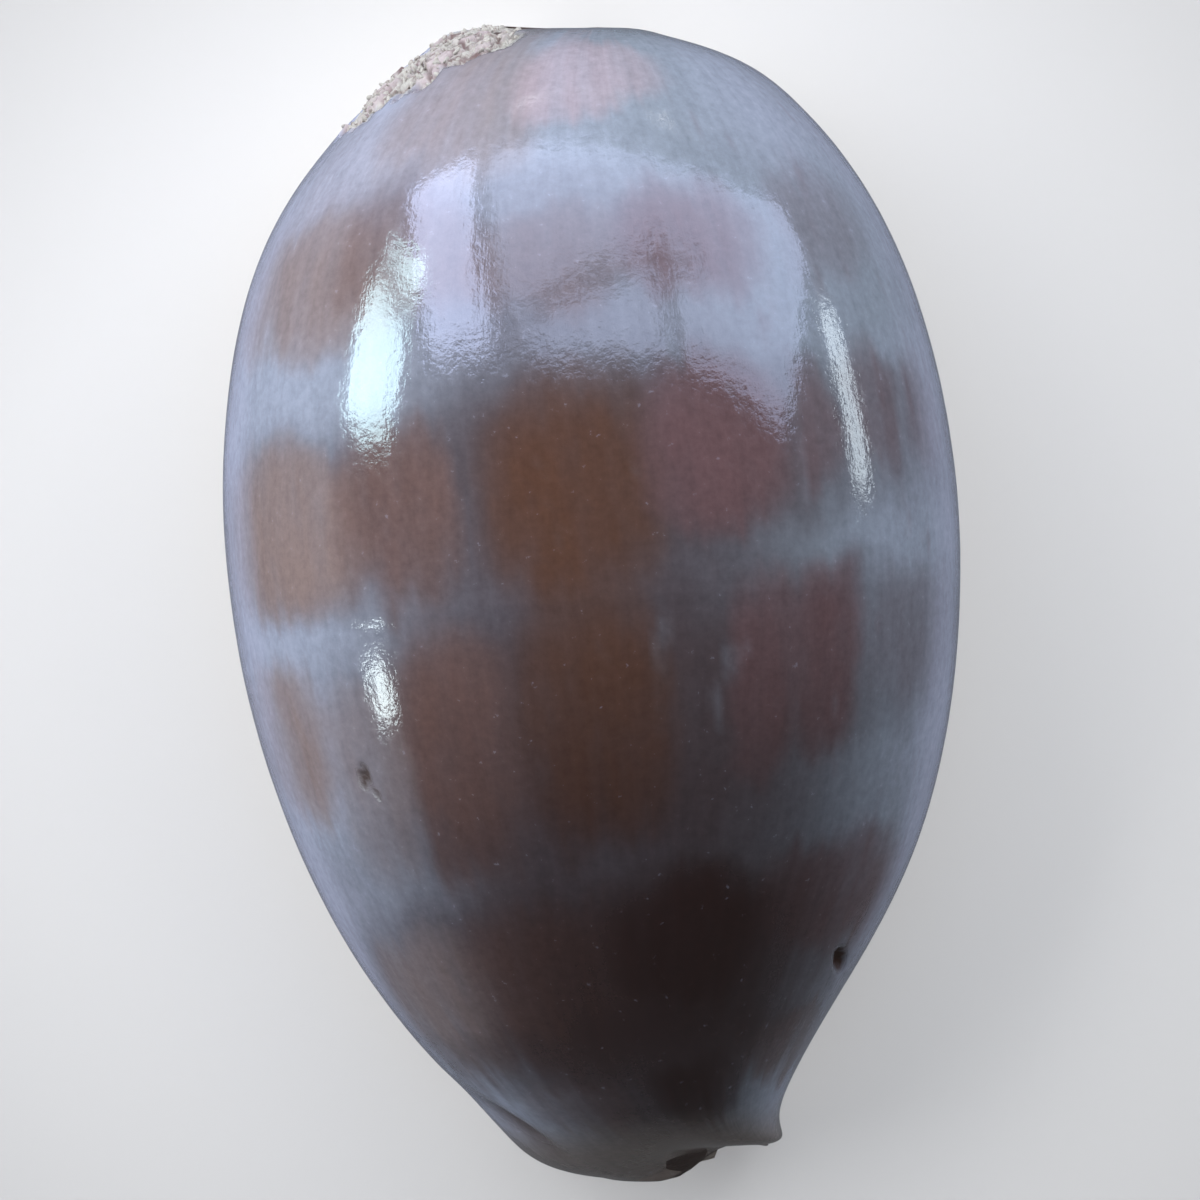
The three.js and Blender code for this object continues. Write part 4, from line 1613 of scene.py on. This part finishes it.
class ShellBody:
    """The shell itself: one coiled wall of glazed enamel."""

    NAME = "cowrie_shell"
    TEETH_FADE: Span = (0.0, 3.0)  # length over which the teeth fade out at the ends of the row
    LIP_TURN: Span = (0.70, 0.78)
    LIP_EDGE: Span = (0.985, 1.0)
    SHALLOWER = 0.4  # how much shallower the gaps are at a lip's free edge
    BASE_TURN: Span = (0.63, 0.75)
    BASE_HEIGHT: Span = (2.2, 0.9)
    UNEVEN, UNEVEN_SCALE = 0.10, 0.45  # how unevenly the gaps end on the base

    def __init__(self, low: Vector, high: Vector) -> None:
        """Takes the overall sizes from the frame's box, in metres.

        Args:
            low: The box's low corner.
            high: Its high corner.
        """
        self.low, self.high = low, high
        span = (high - low) * MM_PER_M
        self.sizes = ShellSizes(length=span.y, width=span.x, height=span.z)

    def _form(self) -> FieldGraph:
        """The tree that presses the mould into the shell's form, in millimetres.

        Returns:
            The tree.
        """
        graph = FieldGraph("shell form")
        form = ShellForm(graph, size_inputs(graph, self.sizes))
        place, across = form.place()
        shaped = graph.move(graph.geometry(), {"Position": place})
        shaped = graph.store(shaped, "across", across)
        shaped = graph.store(shaped, "opening", form.opening())
        graph.finish(shaped)
        return graph

    def _tooth_gaps(self, graph: FieldGraph, relief: Relief) -> Value:
        """The gaps of the teeth along the lips: 1 between two teeth and 0 on a tooth's top.

        Args:
            graph: The tree.
            relief: The forms on the skin.

        Returns:
            The share of a gap.
        """
        half, count = graph.given("toothed half length"), graph.given("teeth")
        wave = 0.5 - cosine(relief.y / (half * 2) * count * 360) * 0.5
        down = abs(relief.turn)
        place = graph.joined(0.0, relief.y * self.UNEVEN_SCALE, 0.0)
        uneven = graph.noise(place, 1.0, 1.0) * self.UNEVEN
        on_lip = down.rise(*self.LIP_TURN) * (1 - down.rise(*self.LIP_EDGE) * self.SHALLOWER)
        on_base = (down + uneven).rise(*self.BASE_TURN) * relief.z.rise(*self.BASE_HEIGHT)
        return wave * (half - abs(relief.y)).rise(*self.TEETH_FADE) * on_lip.most(on_base)

    def _skin(self) -> FieldGraph:
        """The tree that adds the teeth, the relief and the colours, and brings all to metres.

        Returns:
            The tree.
        """
        graph = FieldGraph("shell skin")
        low = graph.given("frame low corner", "NodeSocketVector")
        high = graph.given("frame high corner", "NodeSocketVector")
        here = graph.value("GeometryNodeInputPosition", {}, {})
        normal = graph.value("GeometryNodeInputNormal", {}, {})
        relief = Relief(graph, here, graph.attribute("turn"))
        inside = graph.attribute("inside")
        outside = 1 - inside
        gap = self._tooth_gaps(graph, relief) * outside
        crust = relief.crust() * outside
        plate, crack = relief.flakes()
        to_rim = ShellForm.TIP - abs(graph.attribute("station"))
        painting = Painting(relief, graph.attribute("across"), inside, to_rim)
        skin = graph.store(graph.geometry(), "crust", crust)
        skin = graph.store(skin, "dull", painting.dullness(crust))
        colour = painting.colour(gap, crust, plate, crack)
        skin = graph.store(skin, "tint", colour, "FLOAT_COLOR")
        teeth = gap * graph.given("tooth depth") * -1.0
        height = (relief.height(crust, plate, crack) * outside + teeth) * graph.attribute("opening")
        raised = graph.move(skin, {"Offset": normal * graph.joined(height, height, height)})
        inside_box = (here / MM_PER_M).most(low).least(high)
        graph.finish(graph.move(raised, {"Position": inside_box}))
        return graph

    def build(self, material: bpy.types.Material) -> bpy.types.Object:
        """Makes the shell as a plain mesh, in metres, inside the frame's box.

        Args:
            material: The finish of the whole shell.

        Returns:
            The finished piece.
        """
        form: dict[str, Any] = dict(named_sizes(self.sizes))
        form["Material"] = material
        cast = self._form().applied("shell_cast", Mould().mesh(), form)
        skin = {
            "frame low corner": self.low,
            "frame high corner": self.high,
            "toothed half length": self.sizes.toothed_half_length,
            "teeth": self.sizes.teeth,
            "tooth depth": self.sizes.tooth_depth,
            "Material": material,
        }
        shell = self._skin().applied(self.NAME, cast.data, skin)
        bpy.data.objects.remove(cast)
        return shell


class CrustGrains:
    """Loose chalky grains that stand on the crust."""

    NAME = "crust_grains"
    PER_SQUARE_METRE = 2.2e6
    SMALLEST, LARGEST = 0.00007, 0.00022  # metres
    SHAPE = (1.0, 1.4, 0.6)  # a grain's length, width and thickness, in its own size
    ON_CRUST: Span = (0.6, 1.0)
    SEED = 7

    def _tree(self) -> FieldGraph:
        """The tree that scatters grains where the crust is and keeps them inside the frame's box.

        Returns:
            The tree.
        """
        graph = FieldGraph("crust grains")
        low = graph.given("frame low corner", "NodeSocketVector")
        high = graph.given("frame high corner", "NodeSocketVector")
        density = graph.given("grains per square metre")
        seed = graph.given("seed", "NodeSocketInt")
        where = graph.attribute("crust").rise(*self.ON_CRUST)
        sockets = {"Mesh": graph.geometry(), "Density": density * where, "Seed": seed}
        points = graph.value("GeometryNodeDistributePointsOnFaces", {}, sockets, "Points")
        grain = graph.value("GeometryNodeMeshIcoSphere", {}, {"Radius": 1.0, "Subdivisions": 2}, "Mesh")
        pieces = {"Min_001": self.SMALLEST, "Max_001": self.LARGEST, "Seed": seed}
        size = graph.value("FunctionNodeRandomValue", {"data_type": "FLOAT"}, pieces, "Value_001")
        turns = {"Max": (math.tau, math.tau, math.tau), "Seed": seed}
        turn = graph.value("FunctionNodeRandomValue", {"data_type": "FLOAT_VECTOR"}, turns, "Value")
        shape = graph.joined(*(size * part for part in self.SHAPE))
        sockets = {"Points": points, "Instance": grain, "Rotation": turn, "Scale": shape}
        strewn = graph.value("GeometryNodeInstanceOnPoints", {}, sockets)
        here = graph.value("GeometryNodeInputPosition", {}, {})
        real = graph.value("GeometryNodeRealizeInstances", {}, {"Geometry": strewn})
        graph.finish(graph.move(real, {"Position": here.most(low).least(high)}))
        return graph

    def build(self, shell: bpy.types.Object, low: Vector, high: Vector) -> bpy.types.Object:
        """Scatters the grains over the shell's crust as one plain mesh.

        Args:
            shell: The finished shell.
            low: The frame box's low corner.
            high: Its high corner.

        Returns:
            The finished piece.
        """
        inputs = {
            "frame low corner": low,
            "frame high corner": high,
            "grains per square metre": self.PER_SQUARE_METRE,
            "seed": self.SEED,
            "Material": ChalkFinish().material(),
        }
        return self._tree().applied(self.NAME, shell.data, inputs)


# --- Finishes -----------------------------------------------------------------------------------------------


@dataclass(frozen=True)
class ChalkFinish:
    """The dull, chalky grains of the crust."""

    roughness: float = 0.8
    speck_scale: float = 2.5
    specks: Span = (-0.05, 0.25)

    def material(self) -> bpy.types.Material:
        """The material of the grains.

        Returns:
            The material.
        """
        graph = ShaderGraph("crust chalk", {"Roughness": self.roughness})
        speck = graph.noise(graph.place(), self.speck_scale, 2.0, 0.6)
        graph.feed("Base Color", graph.tint(Tint.CHALK, Tint.TAN, speck.rise(*self.specks)))
        return graph.material


@dataclass(frozen=True)
class EnamelFinish:
    """The glaze over the shell's colours, painted shade and sheen among them, with the finest streaks and
    specks in it.
    """

    roughness: float = 0.10
    worn_roughness: float = 0.75
    index: float = 1.62
    bump_depth: float = 0.05
    streaks_round: float = 95  # streaks round half the section
    streak_draw: float = 0.22  # their scale along the shell
    streak_shade: float = 0.35
    streak_bump: float = 0.3
    mottle_scale: float = 1.8
    mottle_shade: float = 0.50
    mottle_roughness: float = 0.10
    mottle_bump: float = 0.35
    worn_bump: float = 3
    specks: Span = (0.17, 0.24)
    speck_share: float = 0.12

    def material(self) -> bpy.types.Material:
        """The material of the whole shell.

        Returns:
            The material.
        """
        graph = ShaderGraph("glazed enamel", {"IOR": self.index})
        place = graph.place()
        turn, dull = graph.attribute("turn"), graph.attribute("dull")
        colour = graph.attribute("tint", "Color")
        y = place.parts()[1]
        lengthwise = graph.joined(turn * self.streaks_round, y * self.streak_draw, 0.0)
        streaks = graph.noise(lengthwise, 1.0, 3.0, 0.6)
        mottle = graph.noise(place, self.mottle_scale, 3.0, 0.65)
        shade = 1 + streaks * self.streak_shade + mottle * self.mottle_shade
        colour = colour * graph.joined(shade, shade, shade)
        specks = mottle.rise(*self.specks) * self.speck_share
        graph.feed("Base Color", graph.tint(colour, Tint.LAVENDER_RIM, specks))
        glazed = self.roughness + mottle * self.mottle_roughness
        graph.feed("Roughness", mix(glazed, self.worn_roughness, dull))
        grain = mottle * (self.mottle_bump + dull * self.worn_bump)
        graph.bump(streaks * self.streak_bump + grain, self.bump_depth)
        return graph.material


# --- Studio -------------------------------------------------------------------------------------------------


PAST_ANY_PANEL = 9.0


@dataclass(frozen=True)
class Outlook:
    """What stands before a light panel: ragged edges, twigs, and a brighter side.

    Places are in metres on the panel. Its x runs to the left as the shell mirrors it, and its y upwards.
    """

    ragged: float
    arch: float = 0.0  # how fast an arched lower edge falls away on both sides of the middle
    arch_top: float = 0.13  # how far below the panel's middle the arched edge starts
    reach: float = PAST_ANY_PANEL  # how far up from the middle the panel shines
    sag: float = 0.0  # how much further the upper edge reaches in the middle
    sag_half_width: float = 0.42
    left_end: float = PAST_ANY_PANEL
    side_from: float = PAST_ANY_PANEL
    side_gain: float = 1.0
    side_fade: float = 0.04
    edge_fade: float = 0.02
    twigs: tuple[Stroke, ...] = ()
    twig_width: float = 0.036
    twig_fade: float = 0.05
    twig_shake: float = 0.6
    leaf_scale: float = 7.0

    def cover(self, data: bpy.types.AreaLight) -> None:
        """Makes the panel shine only where nothing stands before it.

        Args:
            data: The panel's light.
        """
        data.use_nodes = True
        graph = Graph(data.node_tree)
        u, v, _ = graph.value("ShaderNodeNewGeometry", {}, {}, "Parametric").parts()
        x, y = (u - 0.5) * data.size, (v - 0.5) * data.size_y
        leaves = graph.noise(graph.joined(x, y, 0.0), self.leaf_scale, 4.0, 0.7) * self.ragged * 2
        margin = self.ragged / 2
        inner = (min(data.size / 2, self.left_end) - margin - x).least(x + data.size / 2 - margin)
        top = min(self.reach, data.size_y / 2 - margin) + self.sag * bell(x / self.sag_half_width) - y
        bottom = y + data.size_y / 2 - margin
        if self.arch:
            bottom = y + self.arch_top + x * x * self.arch
        clear = (inner.least(top).least(bottom) + leaves).rise(0.0, self.edge_fade)
        for twig in self.twigs:
            along, off = twig.along_and_off(x, y)
            fade = self.twig_fade
            held = along.rise(-fade, fade) * along.rise(twig.length + fade, twig.length - fade)
            clear = clear * (1 - bell((off + leaves * self.twig_shake) / self.twig_width) * held)
        shine = clear * mix(1.0, self.side_gain, x.rise(self.side_from, self.side_from + self.side_fade))
        emission = data.node_tree.nodes["Emission"]
        data.node_tree.links.new(shine.socket, emission.inputs["Strength"])


@dataclass(frozen=True)
class Panel:
    """A soft light panel that faces the shell, in metres and degrees."""

    name: str
    bearing: float  # from +Y towards +X
    elevation: float
    distance: float
    width: float
    height: float
    radiance: float
    colour: tuple[float, float, float]
    lights: bool = True  # whether it lights the surfaces
    mirrored: bool = True  # whether the gloss shows it
    shadowed: bool = True  # whether it casts shadows
    outlook: Outlook | None = None

    def place(self, target: Vector) -> None:
        """Adds the panel, aimed at a point, with a power that gives it its radiance.

        Args:
            target: The point that it faces.
        """
        data = bpy.data.lights.new(self.name, "AREA")
        data.shape = "RECTANGLE"
        data.size, data.size_y = self.width, self.height
        data.energy = self.radiance * math.pi * self.width * self.height
        data.color = self.colour
        data.use_shadow = self.shadowed
        if self.outlook:
            self.outlook.cover(data)
        panel = bpy.data.objects.new(self.name, data)
        bearing, elevation = math.radians(self.bearing), math.radians(self.elevation)
        level = math.cos(elevation)
        away = Vector((math.sin(bearing) * level, math.cos(bearing) * level, math.sin(elevation)))
        panel.location = target + away * self.distance
        panel.rotation_euler = away.to_track_quat("Z", "Y").to_euler()
        panel.visible_camera = False
        panel.visible_diffuse = self.lights
        panel.visible_glossy = self.mirrored
        bpy.context.scene.collection.objects.link(panel)


@dataclass(frozen=True)
class Studio:
    """The floor, the lights and the camera, in metres and degrees."""

    floor_half: float = 3.0
    floor_roughness: float = 0.9
    floor_gloss: float = 0.1
    pale: float = 0.60
    edge_pale: float = 0.46
    pale_to_edge: Span = (34.0, 62.0)  # millimetres from the shell's middle, over which the floor darkens as painted falloff of light
    camera_height: float = 0.340
    camera_x: float = 0.00025
    camera_y: float = 0.00019
    camera_turn: float = -4.1
    lens: float = 166.11
    sensor: float = 36.0
    clip_start: float = 0.01
    world: float = 0.10
    world_colour: tuple[float, float, float, float] = (0.92, 0.95, 1.0, 1.0)
    panels: tuple[Panel, ...] = (
        Panel(
            "sky_window", 4, 30, 0.9, 3.5, 1.52, 3.4, (0.68, 0.79, 1.16), lights=False,
            outlook=Outlook(
                ragged=0.16, arch=0.38, reach=0.54, sag=0.10, left_end=1.12, side_from=0.52, side_gain=2.2,
                twigs=(
                    Stroke(0.42, 0.51, 198.0, 1.05),
                    Stroke(-0.34, 0.17, 108.7, 0.60),
                    Stroke(0.47, -0.20, 92.0, 0.75),
                ),
            ),
        ),
        Panel("left_key", -62, 33, 1.1, 1.4, 1.0, 5.2, (0.98, 0.98, 1.0), mirrored=False, shadowed=False),
        Panel("rear_fill", 15, 35, 1.1, 1.4, 0.8, 3.0, (0.97, 0.98, 1.0), mirrored=False),
        Panel("right_fill", 75, 30, 1.1, 0.9, 0.6, 3.2, (0.93, 0.96, 1.0), mirrored=False, shadowed=False),
        Panel("right_window", 77, -2, 0.9, 0.30, 0.10, 7.0, (0.80, 0.92, 1.0), lights=False),
        Panel(
            "rear_glint", 5, 5, 0.9, 0.95, 0.09, 6.0, (0.94, 0.96, 1.0), lights=False,
            outlook=Outlook(ragged=0.07),
        ),
        Panel(
            "left_window", -62, 16, 0.9, 0.52, 0.42, 12.0, (0.68, 0.96, 1.04), lights=False,
            outlook=Outlook(ragged=0.09, twigs=(Stroke(-0.16, -0.30, 80.0, 0.6),)),
        ),
        Panel("left_low_window", -107, 11, 0.9, 0.12, 0.14, 14.0, (0.84, 0.98, 1.0), lights=False),
    )

    def floor(self) -> None:
        """A pale floor under the shell, darkening away from its middle as painted falloff of light."""
        half = self.floor_half
        corners = [(-half, -half, 0), (half, -half, 0), (half, half, 0), (-half, half, 0)]
        mesh = bpy.data.meshes.new("floor")
        mesh.from_pydata(corners, [], [(0, 1, 2, 3)])
        gloss = {"Roughness": self.floor_roughness, "Specular IOR Level": self.floor_gloss}
        graph = ShaderGraph("pale floor", gloss)
        x, y, _ = graph.place().parts()
        # Painted falloff of light: the floor darkens away from the shell's middle.
        away = (x * x + y * y).root().rise(*self.pale_to_edge)
        pale = mix(self.pale, self.edge_pale, away)
        graph.feed("Base Color", graph.joined(pale, pale, pale))
        mesh.materials.append(graph.material)
        floor = bpy.data.objects.new("floor", mesh)
        bpy.context.scene.collection.objects.link(floor)
        floor.visible_glossy = False

    def surroundings(self) -> None:
        """A faint, even light from all round, and plain colour handling."""
        world = bpy.data.worlds.new("surroundings")
        world.use_nodes = True
        background = world.node_tree.nodes["Background"]
        background.inputs["Color"].default_value = self.world_colour
        background.inputs["Strength"].default_value = self.world
        bpy.context.scene.world = world
        bpy.context.scene.view_settings.view_transform = "Standard"

    def camera(self) -> None:
        """The camera, straight above the shell and turned a little."""
        data = bpy.data.cameras.new("camera")
        data.lens = self.lens
        data.sensor_width = self.sensor
        data.clip_start = self.clip_start
        camera = bpy.data.objects.new("camera", data)
        camera.location = (self.camera_x, self.camera_y, self.camera_height)
        camera.rotation_euler = (0.0, 0.0, math.radians(self.camera_turn))
        bpy.context.scene.collection.objects.link(camera)
        bpy.context.scene.camera = camera

    def build(self, target: Vector) -> None:
        """Sets up the whole studio round a point.

        Args:
            target: The point that the panels face.
        """
        self.camera()
        self.floor()
        self.surroundings()
        for panel in self.panels:
            panel.place(target)


def attach(piece: bpy.types.Object) -> None:
    """Makes a piece ride on the frame, and logs how many triangles it has.

    Args:
        piece: The finished piece.
    """
    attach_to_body(piece, "root")
    piece.data.calc_loop_triangles()
    log.info("%s: %d triangles", piece.name, len(piece.data.loop_triangles))


def main() -> None:
    """Builds the shell, its crust and the studio."""
    logging.basicConfig(level=logging.INFO, format="%(name)s: %(message)s")
    low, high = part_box(NODE)
    Studio().build((low + high) / 2)
    shell = ShellBody(low, high).build(EnamelFinish().material())
    attach(shell)
    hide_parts(NODE)
    attach(CrustGrains().build(shell, low, high))


if __name__ == "__main__":
    main()
